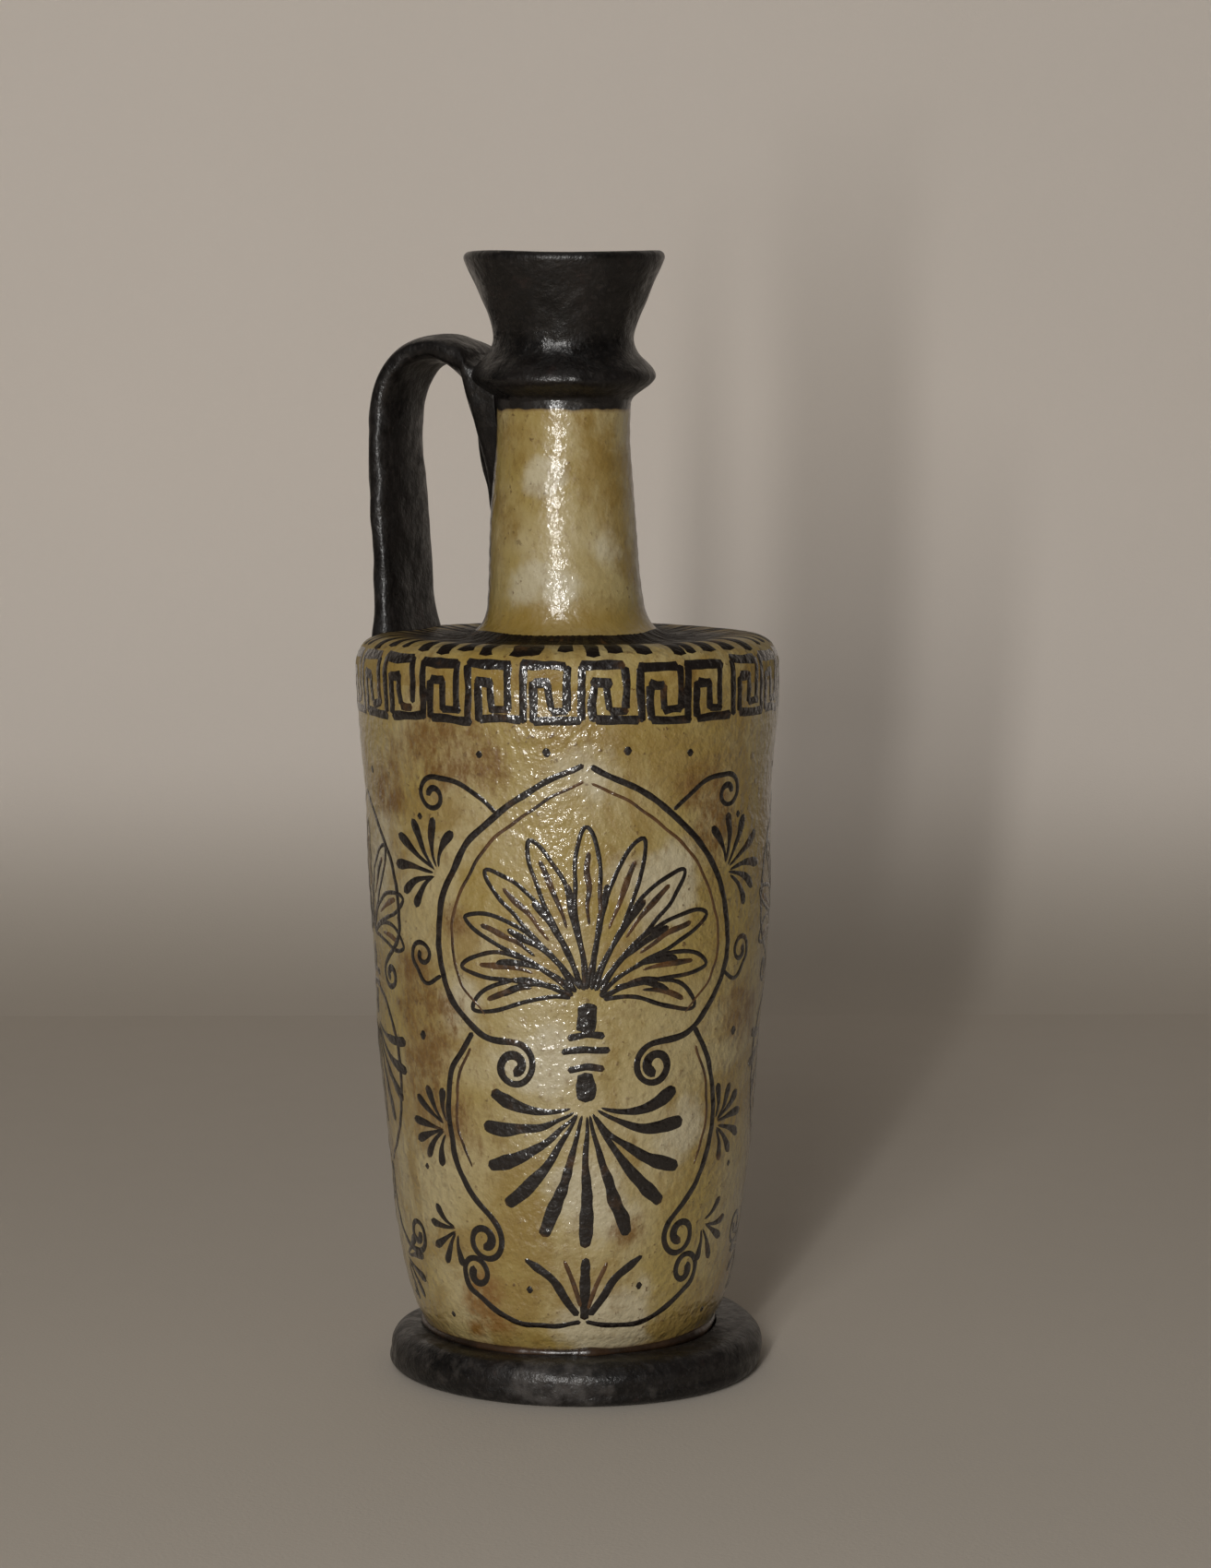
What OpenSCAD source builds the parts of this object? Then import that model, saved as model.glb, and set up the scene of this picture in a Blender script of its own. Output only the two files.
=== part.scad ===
// Hand-built lekythos, a one-handled oil flask, as the clay pieces that its potter luted together.
// The vessel stands on the plane z = 0, its axis is Z, and its handle is on the -X side.

/* [Foot] */
// Mean radius of the slab foot
foot_r = 50.4; // [44:0.1:54]
// Thickness of the slab foot
foot_t = 11.5; // [8:0.1:15]
// How far the slab's outline swells at its two long ends
foot_oval = 0.1; // [0:0.1:2]
// How far the hand-cut outline wanders from its oval, three times round
foot_wander = 0.7; // [0:0.1:1.5]
// How far the slab lies off the vessel's axis
foot_shift = 2.6; // [0:0.1:3]
// Direction in which the slab lies off the axis, in degrees
foot_shift_dir = 2; // [-180:1:180]
// Rounding of the slab's upper and lower edge
foot_edge = 4.2; // [2:0.1:5]
// Depth of the shallow seat that the body is pressed into
foot_seat = 1.5; // [0.5:0.1:3]

/* [Luting bead] */
// Radius of the coil of clay pressed round the joint of body and foot
bead_r = 1.6; // [1:0.1:2.5]

/* [Body] */
// Height of the body wall above the slab
body_h = 176.5; // [140:0.5:215]
// Radius where the body stands on the slab
base_r = 38.8; // [33:0.1:42]
// Radius of the heel, a little above the slab
heel_r = 44.0; // [38:0.1:48]
// Height of the heel above the slab
heel_h = 12.5; // [9:0.5:16]
// Radius of the lower wall
low_r = 47.8; // [42:0.1:52]
// Height of the lower wall's measure above the slab
low_h = 36; // [28:0.5:45]
// Radius half way up the wall
mid_r = 52.0; // [46:0.1:56]
// Radius of the wall under the painted band
upper_r = 54.4; // [48:0.1:58]
// Greatest radius, at the seam with the shoulder
seam_r = 56.8; // [52:0.1:60]
// Thickness of the thrown wall
wall = 6; // [4:0.1:7.5]
// Thickness of the body's floor
floor_t = 7.5; // [5:0.1:10]

/* [Shoulder] */
// Rise of the shoulder from the seam to the flat landing under the neck
shoulder_rise = 13; // [9:0.5:17]
// How far the flat landing reaches beyond the neck's foot
landing_edge = 0.4; // [0.2:0.1:5]
// Width of the rounded corner of the shoulder
corner_w = 4; // [2:0.1:6]
// Depth of the ring under the shoulder that drops into the body's mouth
rebate_h = 4; // [2:0.1:6]
// Thickness of that ring
rebate_t = 4; // [3:0.1:6]

/* [Neck] */
// Height of the neck from the landing to its top face
neck_h = 67; // [55:0.5:80]
// Radius of the neck above its bottom flare
neck_low_r = 20.1; // [18.5:0.1:22]
// Radius at the narrowest place of the neck
neck_slim_r = 17.8; // [16.2:0.1:18.5]
// Height of the narrowest place above the landing
neck_slim_h = 51; // [42:0.5:53]
// Height of the flare at the neck's bottom
flare_h = 6; // [3:0.1:9]
// How far the neck's foot spreads on the landing beyond the neck
flare_out = 4.5; // [1.5:0.1:6]
// Radius of the bore, where a stopper seats
bore_r = 11.5; // [9:0.1:12.5]
// Wall of the spigot that passes through the shoulder
spigot_t = 3.2; // [2.5:0.1:5]

/* [Collar] */
// Radius of the seat that carries the neck's top, the cup's root and the collar
joint_r = 18; // [17.6:0.1:19]
// How far the collar stands out from its seat
collar_out = 6.3; // [4:0.1:8]
// Height of the collar from its lower to its upper edge
collar_h = 15.2; // [13:0.1:18]
// How far the collar hangs below the joint of neck and cup
collar_drop = 6.2; // [4:0.1:8]

/* [Mouth] */
// Height of the cup above the neck's top face
cup_h = 32; // [26:0.5:38]
// Outer radius of the rim
rim_r = 26.8; // [24:0.1:31]
// How far the waist under the cup stands out from the seat
waist_lip = 0.5; // [0.2:0.1:2]
// Wall thickness at the rim
rim_t = 4; // [3:0.1:5]

/* [Handle] */
// Distance from the axis to the middle of the strap
strap_x = 51.8; // [49:0.1:52.6]
// Half of the strap's thickness
strap_a = 3.5; // [2.5:0.1:4.5]
// Half of the strap's width at the arch
strap_b = 11.4; // [8:0.1:13]
// How much wider the strap is at its foot on the shoulder, on each side
strap_spread = 4; // [1:0.1:6]
// Height of the arch's top above the neck's top face
arch_rise = 9.6; // [7:0.1:11]
// Distance from the axis to the crown of the arch
crown_x = 34; // [30:0.5:38]
// How far the thumbed tail of the handle runs down the neck from the neck's top face
tail_h = 38; // [25:0.5:46]
// Half of the spread of the handle's root on the collar
root_b = 12.6; // [9:0.1:15]

/* [Joints] */
// Gap left for slip between luted faces
lute_gap = 0; // [0:0.05:0.2]

/* [Hidden] */
$fn = 96;

// Radii that follow from the seats they stand on
flare_r = neck_low_r + flare_out;
landing_r = flare_r + landing_edge;
collar_r = joint_r + collar_out;
waist_r = joint_r + waist_lip;

// Heights of the seats, from the ground up
body_z = foot_t - foot_seat;
seam_z = foot_t + body_h;
landing_z = seam_z + shoulder_rise;
neck_top = landing_z + neck_h;
collar_z = neck_top - collar_drop;
waist_z = collar_z + collar_h;
rim_z = neck_top + cup_h;
span_steps = 4;
curve_steps = 8;

black_glaze = [0.11, 0.10, 0.08];
cream_glaze = [0.62, 0.56, 0.38];
bead_glaze = [0.16, 0.11, 0.06];

// A point at share t of the cubic Bezier curve with the four corners p
function bezier_at(p, t) =
    pow(1 - t, 3) * p[0] + 3 * t * pow(1 - t, 2) * p[1] + 3 * t * t * (1 - t) * p[2] + pow(t, 3) * p[3];

// The points of a Bezier curve, without its first point
function bezier(p, steps = curve_steps) = [for (i = [1 : steps]) bezier_at(p, i / steps)];

// Slope of a smooth curve at station i: the neighbours' chord, or the end span's own
function slope_at(st, i) =
    let (a = max(i - 1, 0), b = min(i + 1, len(st) - 1))
    (st[b][0] - st[a][0]) / (st[b][1] - st[a][1]);

// A smooth curve [r, z] that passes through every station
function smooth(st) = [
    for (i = [0 : len(st) - 2], k = [0 : span_steps - (i == len(st) - 2 ? 0 : 1)])
        let (
            t = k / span_steps,
            h = st[i + 1][1] - st[i][1],
            h00 = 2 * pow(t, 3) - 3 * t * t + 1,
            h10 = pow(t, 3) - 2 * t * t + t,
            h01 = 3 * t * t - 2 * pow(t, 3),
            h11 = pow(t, 3) - t * t
        )
        [h00 * st[i][0] + h10 * h * slope_at(st, i) + h01 * st[i + 1][0] + h11 * h * slope_at(st, i + 1),
         st[i][1] + t * h]
];

function reversed(list) = [for (i = [len(list) - 1 : -1 : 0]) list[i]];

// Outer outline of the body, from its edge on the slab to the seam
upper_share = 0.76;
body_line = smooth([
    [base_r, foot_t],
    [heel_r, foot_t + heel_h],
    [low_r, foot_t + low_h],
    [mid_r, foot_t + body_h / 2],
    [upper_r, foot_t + upper_share * body_h],
    [seam_r, seam_z]
]);
cavity_r = seam_r - wall;
cavity_z = body_z + floor_t;

// The wall's inside: parallel to the outline, and straight where the shoulder's ring drops in
clear = 3;
inside_low_z = cavity_z + clear;
inside_high_z = seam_z - rebate_h - clear;
body_inside = concat(
    [[0, cavity_z], [base_r - wall, cavity_z]],
    [for (p = body_line) if (p[1] > inside_low_z && p[1] < inside_high_z) [p[0] - wall, p[1]]],
    [[cavity_r, seam_z - rebate_h - 1], [cavity_r, seam_z]]
);

module body() {
    color(cream_glaze)
        rotate_extrude()
            polygon(concat([[0, body_z], [base_r, body_z]], body_line, reversed(body_inside)));
}

// Top of the shoulder: a flat landing, a low dome and a rounded corner down to the seam.
// The handles of its curves are named by how far they lie in from a corner and, as shares of the rise, down
corner_fall = 0.3;
dome_ease = 6;
dome_ease_fall = 0.13;
corner_ease = 0.35;
corner_ease_fall = 0.12;
corner_z = landing_z - corner_fall * shoulder_rise;
dome = concat(
    [[landing_r, landing_z]],
    bezier([[landing_r, landing_z],
            [(landing_r + seam_r) / 2, landing_z],
            [seam_r - corner_w - dome_ease, landing_z - dome_ease_fall * shoulder_rise],
            [seam_r - corner_w, corner_z]]),
    bezier([[seam_r - corner_w, corner_z],
            [seam_r - corner_ease * corner_w, corner_z - corner_ease_fall * shoulder_rise],
            [seam_r, seam_z + corner_ease * shoulder_rise],
            [seam_r, seam_z]])
);
throat_r = bore_r + spigot_t + lute_gap;
ring_r = cavity_r - lute_gap;
under_z = landing_z - wall;

module shoulder_outline() {
    polygon(concat(
        [[throat_r, under_z], [throat_r, landing_z]],
        dome,
        [[ring_r, seam_z], [ring_r, seam_z - rebate_h], [ring_r - rebate_t, seam_z - rebate_h]],
        reversed(bezier([[landing_r, under_z],
                         [(landing_r + ring_r) / 2, under_z],
                         [ring_r - rebate_t, under_z],
                         [ring_r - rebate_t, seam_z]])),
        [[landing_r, under_z]]
    ));
}

module shoulder() {
    color(cream_glaze) rotate_extrude() shoulder_outline();
}

// Outer outline of the neck, from the foot of its flare up to the straight seat of the collar.
// The flare's curve runs on above its height, and the tube narrows a little below its middle
flare_top = landing_z + 1.6 * flare_h;
flare_foot = [neck_low_r + 0.27 * flare_out, landing_z + 0.25 * flare_h];
flare_run = [neck_low_r + 0.09 * flare_out, landing_z + 0.7 * flare_h];
taper = 0.6;
taper_z = landing_z + 0.45 * neck_slim_h;
neck_line = concat(
    [[flare_r, landing_z]],
    bezier([[flare_r, landing_z], flare_foot, flare_run, [neck_low_r, flare_top]], 6),
    [for (p = smooth([[neck_low_r, flare_top],
                      [neck_low_r - taper, taper_z],
                      [neck_slim_r, landing_z + neck_slim_h],
                      [joint_r, collar_z - 1]])) if (p[1] > flare_top) p],
    [[joint_r, neck_top]]
);

// The neck without its bore, which is what the handle and the collar are shaped against
module neck_blank() {
    rotate_extrude() polygon(concat([[0, landing_z]], neck_line, [[0, neck_top]]));
}

module neck() {
    color(cream_glaze) difference() {
        union() {
            neck_blank();
            translate([0, 0, under_z]) cylinder(r = bore_r + spigot_t, h = wall);
        }
        translate([0, 0, under_z - 1]) cylinder(r = bore_r, h = wall + neck_h + 2);
    }
}

// The collar: a bell-shaped ring wrapped round the joint of neck and cup.
// It tucks in under its crest and sweeps up in a hollow curve to the waist
crest_z = collar_z + 0.4 * collar_h;
tuck = [collar_r - 1.5, collar_z + 0.14 * collar_h];
crest_pull = 0.2 * collar_h;
hollow = [waist_r + 0.9, crest_z + 0.3 * collar_h];

module collar_outline() {
    inner = joint_r + lute_gap;
    polygon(concat(
        [[inner, collar_z]],
        bezier([[inner, collar_z], tuck, [collar_r, crest_z - crest_pull], [collar_r, crest_z]]),
        bezier([[collar_r, crest_z], [collar_r, crest_z + crest_pull], hollow, [waist_r, waist_z]]),
        [[inner, waist_z]]
    ));
}

module collar() {
    color(black_glaze) rotate_extrude() collar_outline();
}

// The cup: a slim root inside the collar, a waist, a flaring wall and a rounded rim
lip_r = rim_t / 2;
flare = rim_z - waist_z;
waist_band = 0.8;
cup_start = [waist_r, waist_z + waist_band];
cup_low = [waist_r + 0.9, waist_z + 0.25 * flare];
cup_high = [rim_r - 2.6, rim_z - 0.45 * flare];
cup_end = [rim_r - lip_r / 4, rim_z - 1.35 * lip_r];
cup_line = concat(
    [[joint_r, neck_top], [joint_r, waist_z]],
    [cup_start],
    bezier([cup_start, cup_low, cup_high, cup_end]),
    [for (a = [0 : 30 : 180]) [rim_r - lip_r + lip_r * cos(a), rim_z - lip_r + lip_r * sin(a)]]
);
inside_high = [rim_r - rim_t - 4, rim_z - 0.35 * cup_h];
inside_low = [bore_r + 2.5, rim_z - 0.7 * cup_h];
cup_inside = bezier([[rim_r - rim_t, rim_z - lip_r], inside_high, inside_low, [bore_r, neck_top]]);

module cup_blank() {
    rotate_extrude() polygon(concat([[0, neck_top]], cup_line, [[0, rim_z - lip_r]]));
}

module mouth() {
    color(black_glaze)
        rotate_extrude() polygon(concat([[bore_r, neck_top]], cup_line, cup_inside));
}

// A hand-cut slab: its outline is a circle with a slight oval and a slower three-lobed wander
outline_steps = 60;
edge_steps = 4;
bottom_share = 0.75;
oval_dir = 27;
wander_dir = 40;
function foot_reach(a) = foot_r + foot_oval * cos(2 * (a - oval_dir)) + foot_wander * cos(3 * a + wander_dir);
function foot_ring(inset, z) = [
    for (i = [0 : outline_steps - 1])
        let (a = 360 * i / outline_steps)
        [(foot_reach(a) - inset) * cos(a), (foot_reach(a) - inset) * sin(a), z]
];
function foot_rings() = concat(
    [for (i = [0 : edge_steps])
        let (a = 90 * i / edge_steps, e = foot_edge * bottom_share)
        foot_ring(e * (1 - sin(a)), e * (1 - cos(a)))],
    [for (i = [0 : edge_steps])
        let (a = 90 * i / edge_steps)
        foot_ring(foot_edge * (1 - cos(a)), foot_t - foot_edge * (1 - sin(a)))]
);

// A closed skin over a stack of rings with equally many points, ordered bottom to top
module skin(rings) {
    n = len(rings[0]);
    m = len(rings);
    polyhedron(
        points = [for (r = rings) for (p = r) p],
        faces = concat(
            [[for (i = [0 : n - 1]) i]],
            [for (k = [0 : m - 2], i = [0 : n - 1])
                let (a = k * n + i, b = k * n + (i + 1) % n)
                each [[a, a + n, b + n], [a, b + n, b]]],
            [[for (i = [n - 1 : -1 : 0]) (m - 1) * n + i]]
        )
    );
}

module foot() {
    color(black_glaze) difference() {
        rotate([0, 0, foot_shift_dir])
            translate([foot_shift, 0, 0])
                rotate([0, 0, -foot_shift_dir])
                    skin(foot_rings());
        translate([0, 0, body_z]) cylinder(r = base_r + lute_gap, h = foot_seat + 1);
    }
}

// A coil of clay pressed into the corner between the body's heel and the slab
module foot_bead() {
    color(bead_glaze) difference() {
        rotate_extrude()
            translate([base_r + bead_r / 3, foot_t + bead_r / 2]) circle(r = bead_r, $fn = 32);
        translate([0, 0, foot_t - bead_r]) cylinder(r = base_r + 2 * bead_r, h = bead_r);
        rotate_extrude() polygon(concat([[0, body_z], [base_r, body_z]], body_line, [[0, seam_z]]));
    }
}

// The strap's middle line and its half thickness outwards, inwards and its half width:
// [distance from the axis, height, lean of the section, out, in, half width]
crown_z = neck_top + arch_rise - strap_a;
bend_z = crown_z - 21;
foot_b = strap_b + strap_spread;
strap_foot = landing_z - 1.1 * wall;
rise = bend_z - landing_z;
strap_low = [
    [strap_x - 2.6, strap_foot, 0, strap_a + 1, strap_a + 2.2, foot_b + 0.6],
    [strap_x - 2.3, landing_z - 0.8, 0, strap_a + 0.7, strap_a + 1.4, foot_b - 0.6],
    [strap_x - 2.1, landing_z + 3.5, 0, strap_a + 0.3, strap_a + 0.5, foot_b - 1.7],
    [strap_x - 1.9, landing_z + 0.2 * rise, 0, strap_a, strap_a, foot_b - 2.3],
    [strap_x - 1.5, landing_z + 0.42 * rise, 1, strap_a, strap_a, strap_b + 0.4 * strap_spread],
    [strap_x - 0.7, landing_z + 0.64 * rise, 1.5, strap_a, strap_a, strap_b + 0.25 * strap_spread],
    [strap_x - 0.1, landing_z + 0.86 * rise, 1, strap_a, strap_a, strap_b + 0.1 * strap_spread]
];
arch_steps = 8;
arch_power = 0.88;
arch = [
    for (i = [0 : arch_steps])
        let (a = 90 * i / arch_steps)
        [crown_x + (strap_x - crown_x) * pow(cos(a), arch_power),
         bend_z + (crown_z - bend_z) * pow(sin(a), arch_power),
         a, strap_a, strap_a, strap_b]
];
tail_z = neck_top - tail_h;
root_gap = crown_x - joint_r;
function root(share, drop, width) =
    let (x = crown_x - share * root_gap)
    [x, crown_z - 1.6 * share, 90, strap_a, crown_z - 1.6 * share - drop, width];
strap_root = [
    root(0.18, crown_z - strap_a - 1.4, strap_b + 0.2),
    root(0.36, neck_top - 2.6, strap_b + 0.5),
    root(0.52, neck_top - 7.5, strap_b + 0.8),
    root(0.64, neck_top - 13.5, root_b),
    root(0.74, neck_top - 20, root_b),
    root(0.84, neck_top - 27, root_b),
    root(0.94, tail_z + 3, root_b),
    root(1.04, tail_z, root_b),
    root(1.3, tail_z - 3, root_b)
];
section_steps = 24;
section_power = 0.62;

// A number between -1 and 1 raised to a power, with its sign kept
function signed_pow(v, p) = sign(v) * pow(abs(v), p);

// One section of the strap: a rounded oblong that leans with the strap's middle line
function strap_ring(s) = [
    for (i = [0 : section_steps - 1])
        let (
            a = 360 * i / section_steps,
            deep = s[4] > 1.5 * s[3] && cos(a) < 0,
            out = (cos(a) > 0 ? s[3] : s[4]) * (deep ? cos(a) : signed_pow(cos(a), section_power)),
            side = s[5] * (deep ? pow(abs(sin(a)), 1.6) * sign(sin(a)) : signed_pow(sin(a), section_power))
        )
        [-(s[0] + out * cos(s[2])), side, s[1] + out * sin(s[2])]
];

// The handle: one strap of clay from the shoulder over the arch to the collar and down the neck
module handle() {
    color(black_glaze) difference() {
        skin([for (s = concat(strap_low, arch, strap_root)) strap_ring(s)]);
        rotate_extrude() polygon(concat([[0, seam_z], [0, landing_z]], dome));
        neck_blank();
        rotate_extrude() collar_outline();
        cup_blank();
    }
}

foot();
foot_bead();
body();
shoulder();
neck();
collar();
mouth();
handle();
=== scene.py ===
# %% [markdown]
# # A hand-built oil flask
# The object is a tall one-handled oil flask of glazed clay: a straight tapering body on a slab foot,
# a low shoulder, a narrow neck, a bell-shaped collar, a flaring cup and a strap handle.
# Its maker shaped each piece by hand, so nothing on it is quite round or quite level, and painted
# it with a brush in brown-black oxide under a clear glaze. The lesson builds the surfaces as numpy
# arrays, because one function can then carry the clay and the brush strokes that lie on it.
# The CAD model gives the places: every clay piece made here takes the place of one of its nodes.

# %% Open the frame
import math

import bmesh
import bpy
import numpy as np
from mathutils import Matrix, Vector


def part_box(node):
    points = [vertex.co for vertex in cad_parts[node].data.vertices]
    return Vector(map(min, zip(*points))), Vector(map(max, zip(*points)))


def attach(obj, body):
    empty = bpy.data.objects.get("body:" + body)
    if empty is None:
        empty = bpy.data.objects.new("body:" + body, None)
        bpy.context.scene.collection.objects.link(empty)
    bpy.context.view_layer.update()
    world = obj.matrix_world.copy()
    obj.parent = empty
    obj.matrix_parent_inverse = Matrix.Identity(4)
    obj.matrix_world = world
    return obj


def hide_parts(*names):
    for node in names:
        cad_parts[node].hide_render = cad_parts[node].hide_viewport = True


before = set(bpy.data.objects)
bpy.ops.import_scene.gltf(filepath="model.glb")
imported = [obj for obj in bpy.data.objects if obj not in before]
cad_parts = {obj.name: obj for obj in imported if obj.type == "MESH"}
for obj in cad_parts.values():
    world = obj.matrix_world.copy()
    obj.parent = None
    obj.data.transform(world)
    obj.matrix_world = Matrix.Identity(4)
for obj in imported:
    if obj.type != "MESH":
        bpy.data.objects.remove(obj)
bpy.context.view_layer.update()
MM = 0.001
print("nodes to clothe:", sorted(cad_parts))

# %% [markdown]
# ## Where things are
# The frame stands on z = 0 with its axis up and the handle on the -X side. The sizes below are in
# millimetres, like a potter's notes, and are made metres only when a mesh is written. Heights come
# from the CAD boxes, so that a change there moves the looks too.
# Angles are measured from the side that faces the camera: 0 is the front of the painted field,
# positive angles go to the right as the camera sees it.

# %% Heights and directions
def node_span(node):
    """Lowest and highest z of a CAD node, in millimetres."""
    low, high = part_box(node)
    return low.z / MM, high.z / MM

FOOT_TOP = node_span("foot")[1]
SEAM_Z = node_span("body")[1]
LANDING_Z = node_span("shoulder")[1]
COLLAR_LOW, COLLAR_HIGH = node_span("collar")
NECK_TOP = node_span("neck")[1]
RIM_Z = node_span("mouth")[1]
BODY_FLOOR = node_span("body")[0]
VIEW_AZIMUTH = 27.0
FRONT = VIEW_AZIMUTH - 90.0
PHOTO_RIGHT = np.array([math.cos(math.radians(VIEW_AZIMUTH)), math.sin(math.radians(VIEW_AZIMUTH))])

def rays(angle):
    """Unit vectors across the floor, cosine and sine of the turn, at angles from the front in degrees."""
    turn = np.radians(np.asarray(angle) + FRONT)
    return np.stack([np.cos(turn), np.sin(turn)], axis=-1)

print(f"foot top {FOOT_TOP:.1f}, seam {SEAM_Z:.1f}, landing {LANDING_Z:.1f}, rim {RIM_Z:.1f} mm")

# %% [markdown]
# ## The hand in the clay
# A wheel gives true circles; a hand doesn't. Two small functions carry that. The first adds a slow
# unevenness to a radius: a few waves round the pot that change with height, with their phases drawn
# from a fixed seed so that every run is the same. The second moves the pot's axis sideways with
# height, because the body bows a little and the neck leans towards the handle.

# %% Unevenness
def unevenness(angle, z, size, seed, waves=6, pitch=70.0):
    """Sum of cosines: whole waves round the pot, slow waves up it, seeded phases, of the given size in mm."""
    draw = np.random.default_rng(seed)
    total = np.zeros(np.broadcast(angle, z).shape)
    for k in range(waves):
        around = draw.integers(1, 6)
        up = draw.uniform(0.3, 1.6) * 2 * np.pi / pitch
        phase, lift = draw.uniform(0, 2 * np.pi, 2)
        total += np.cos(around * np.radians(angle) + phase + 1.3 * np.sin(up * z + lift))
    return size * total / math.sqrt(waves)

# height, and how far the axis stands off to the camera's right there, in mm
BOW = np.array([(0, 0), (57, 0.25), (88, -0.15), (118, 0.6), (135, 0.45), (160, -0.2), (178, 0.15),
                (190, 0), (201, -0.15), (207, -0.4), (216, -0.8), (232, -1.2), (250, -1.25),
                (262, -0.95), (300, -0.8)])

def axis_shift(z):
    """How far the axis stands off to the camera's right at height z, as x and y in mm."""
    return np.interp(z, BOW[:, 0], BOW[:, 1])[..., None] * PHOTO_RIGHT

print(f"the axis wanders by up to {np.abs(BOW[:, 1]).max():.2f} mm")

# %% [markdown]
# ## Outlines
# Every turned piece starts as an outline of radius and height. A few stations that were measured on
# the pot fix it, and a Catmull-Rom curve runs smoothly through them. The outline is then resampled by
# its own length, so that the rows of the mesh, and later the brush strokes, are evenly spaced even
# where the wall turns over into the shoulder.

# %% Smooth lines through stations
def above(base, *stations):
    """Stations whose heights, the second number of each, are counted up or down from a base height."""
    return [(reach, base + height, *rest) for reach, height, *rest in stations]

def smooth_line(stations, step):
    """Catmull-Rom curve through the stations, resampled so that its points lie `step` apart.

    Between two stations it is a cubic whose slope at each is half the step between its neighbours.
    """
    p = np.asarray(stations, float)
    before = np.vstack([2 * p[0] - p[1], p[:-1]])
    after = np.vstack([p[1:], 2 * p[-1] - p[-2]])
    tangent = (after - before) / 2
    t = np.linspace(0, 1, 24, endpoint=False)[None, :, None]
    a, b, ta, tb = p[:-1, None], p[1:, None], tangent[:-1, None], tangent[1:, None]
    curve = ((2 * t**3 - 3 * t**2 + 1) * a + (t**3 - 2 * t**2 + t) * ta
             + (3 * t**2 - 2 * t**3) * b + (t**3 - t**2) * tb)
    return resample(np.vstack([curve.reshape(-1, p.shape[1]), p[-1]]), step)

def resample(line, step):
    """The same polyline with evenly spaced points, about `step` apart."""
    run = np.concatenate([[0], np.cumsum(np.linalg.norm(np.diff(line, axis=0), axis=1))])
    at = np.linspace(0, run[-1], max(int(round(run[-1] / step)), 2) + 1)
    return np.stack([np.interp(at, run, line[:, k]) for k in range(line.shape[1])], axis=1)

# %% [markdown]
# ## The painted skin
# Body and shoulder share one outline, so that the brush can cross the seam between them. `skin_at`
# is the heart of the scene: it takes an angle and a distance along the outline and gives the point on
# the clay, with an optional height above it. The clay meshes use it with height 0, and the strokes
# with less than a tenth of a millimetre. The shoulder's top is nearly flat and a little dished.

# %% The outline of body and shoulder
STEP = 1.1
SEAM_RADIUS = 56.8
WALL_STATIONS = above(FOOT_TOP, (38.8, 0), (40.3, 2.5), (41.9, 5.7), (43.3, 9.6), (44.6, 14.7),
                      (46.3, 25), (47.8, 36), (49.8, 56), (51.4, 76), (52.9, 97), (54.1, 117),
                      (54.4, 131), (54.7, 146), (55.6, 157), (56.5, 167)) + [(SEAM_RADIUS, SEAM_Z)]
SHOULDER_STATIONS = above(SEAM_Z, (SEAM_RADIUS, 0), (56.8, 2.6), (56.5, 5), (55.8, 7.1), (54.4, 8.9),
                          (52.2, 10.2), (49.4, 10.9), (46, 11), (41.5, 10.5), (36, 9.9), (31, 9.9),
                          (27.8, 10.6), (25.6, 11.6), (24, 12.4))
wall_line = smooth_line(WALL_STATIONS, STEP)
skin_line = np.vstack([wall_line, smooth_line(SHOULDER_STATIONS, STEP)[1:]])
skin_run = np.concatenate([[0], np.cumsum(np.linalg.norm(np.diff(skin_line, axis=0), axis=1))])
SEAM_RUN = skin_run[len(wall_line) - 1]

def skin_at(angle, run, height=0.0):
    """Point on the painted skin, `run` mm along the outline and `angle` degrees from the front.

    The outline gives the radius and height there. The swell of the clay, fine rings and `height` move
    the point out along the outline's normal, and the turn and the leaning axis put it in the frame.
    """
    r = np.interp(run, skin_run, skin_line[:, 0])
    z = np.interp(run, skin_run, skin_line[:, 1])
    slopes = np.gradient(skin_line, skin_run, axis=0)
    slope = np.stack([np.interp(run, skin_run, column) for column in slopes.T], axis=-1)
    slope /= np.linalg.norm(slope, axis=-1, keepdims=True)
    rings = 0.05 * np.sin(z * 1.15 + np.sin(z / 9))
    out = unevenness(angle, z, 0.22, 11) * np.clip(run / 12, 0, 1) + rings + height
    flat = (r + slope[..., 1] * out)[..., None] * rays(angle) + axis_shift(z)
    return np.concatenate([flat, (z - slope[..., 0] * out)[..., None]], axis=-1)

def run_at_height(z):
    """Distance along the outline at which the wall reaches height z."""
    return np.interp(z, wall_line[:, 1], skin_run[:len(wall_line)])

print(f"skin outline {skin_run[-1]:.0f} mm long, seam at {SEAM_RUN:.0f} mm")

# %% [markdown]
# ## From arrays to a mesh
# All shapes here are points and faces in numpy arrays until one function writes them. It turns
# millimetres into metres, makes the faces of each shell point outwards, and keeps only real corners
# sharp.

# %% Write a mesh
SHARP_FROM = 50.0

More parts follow.
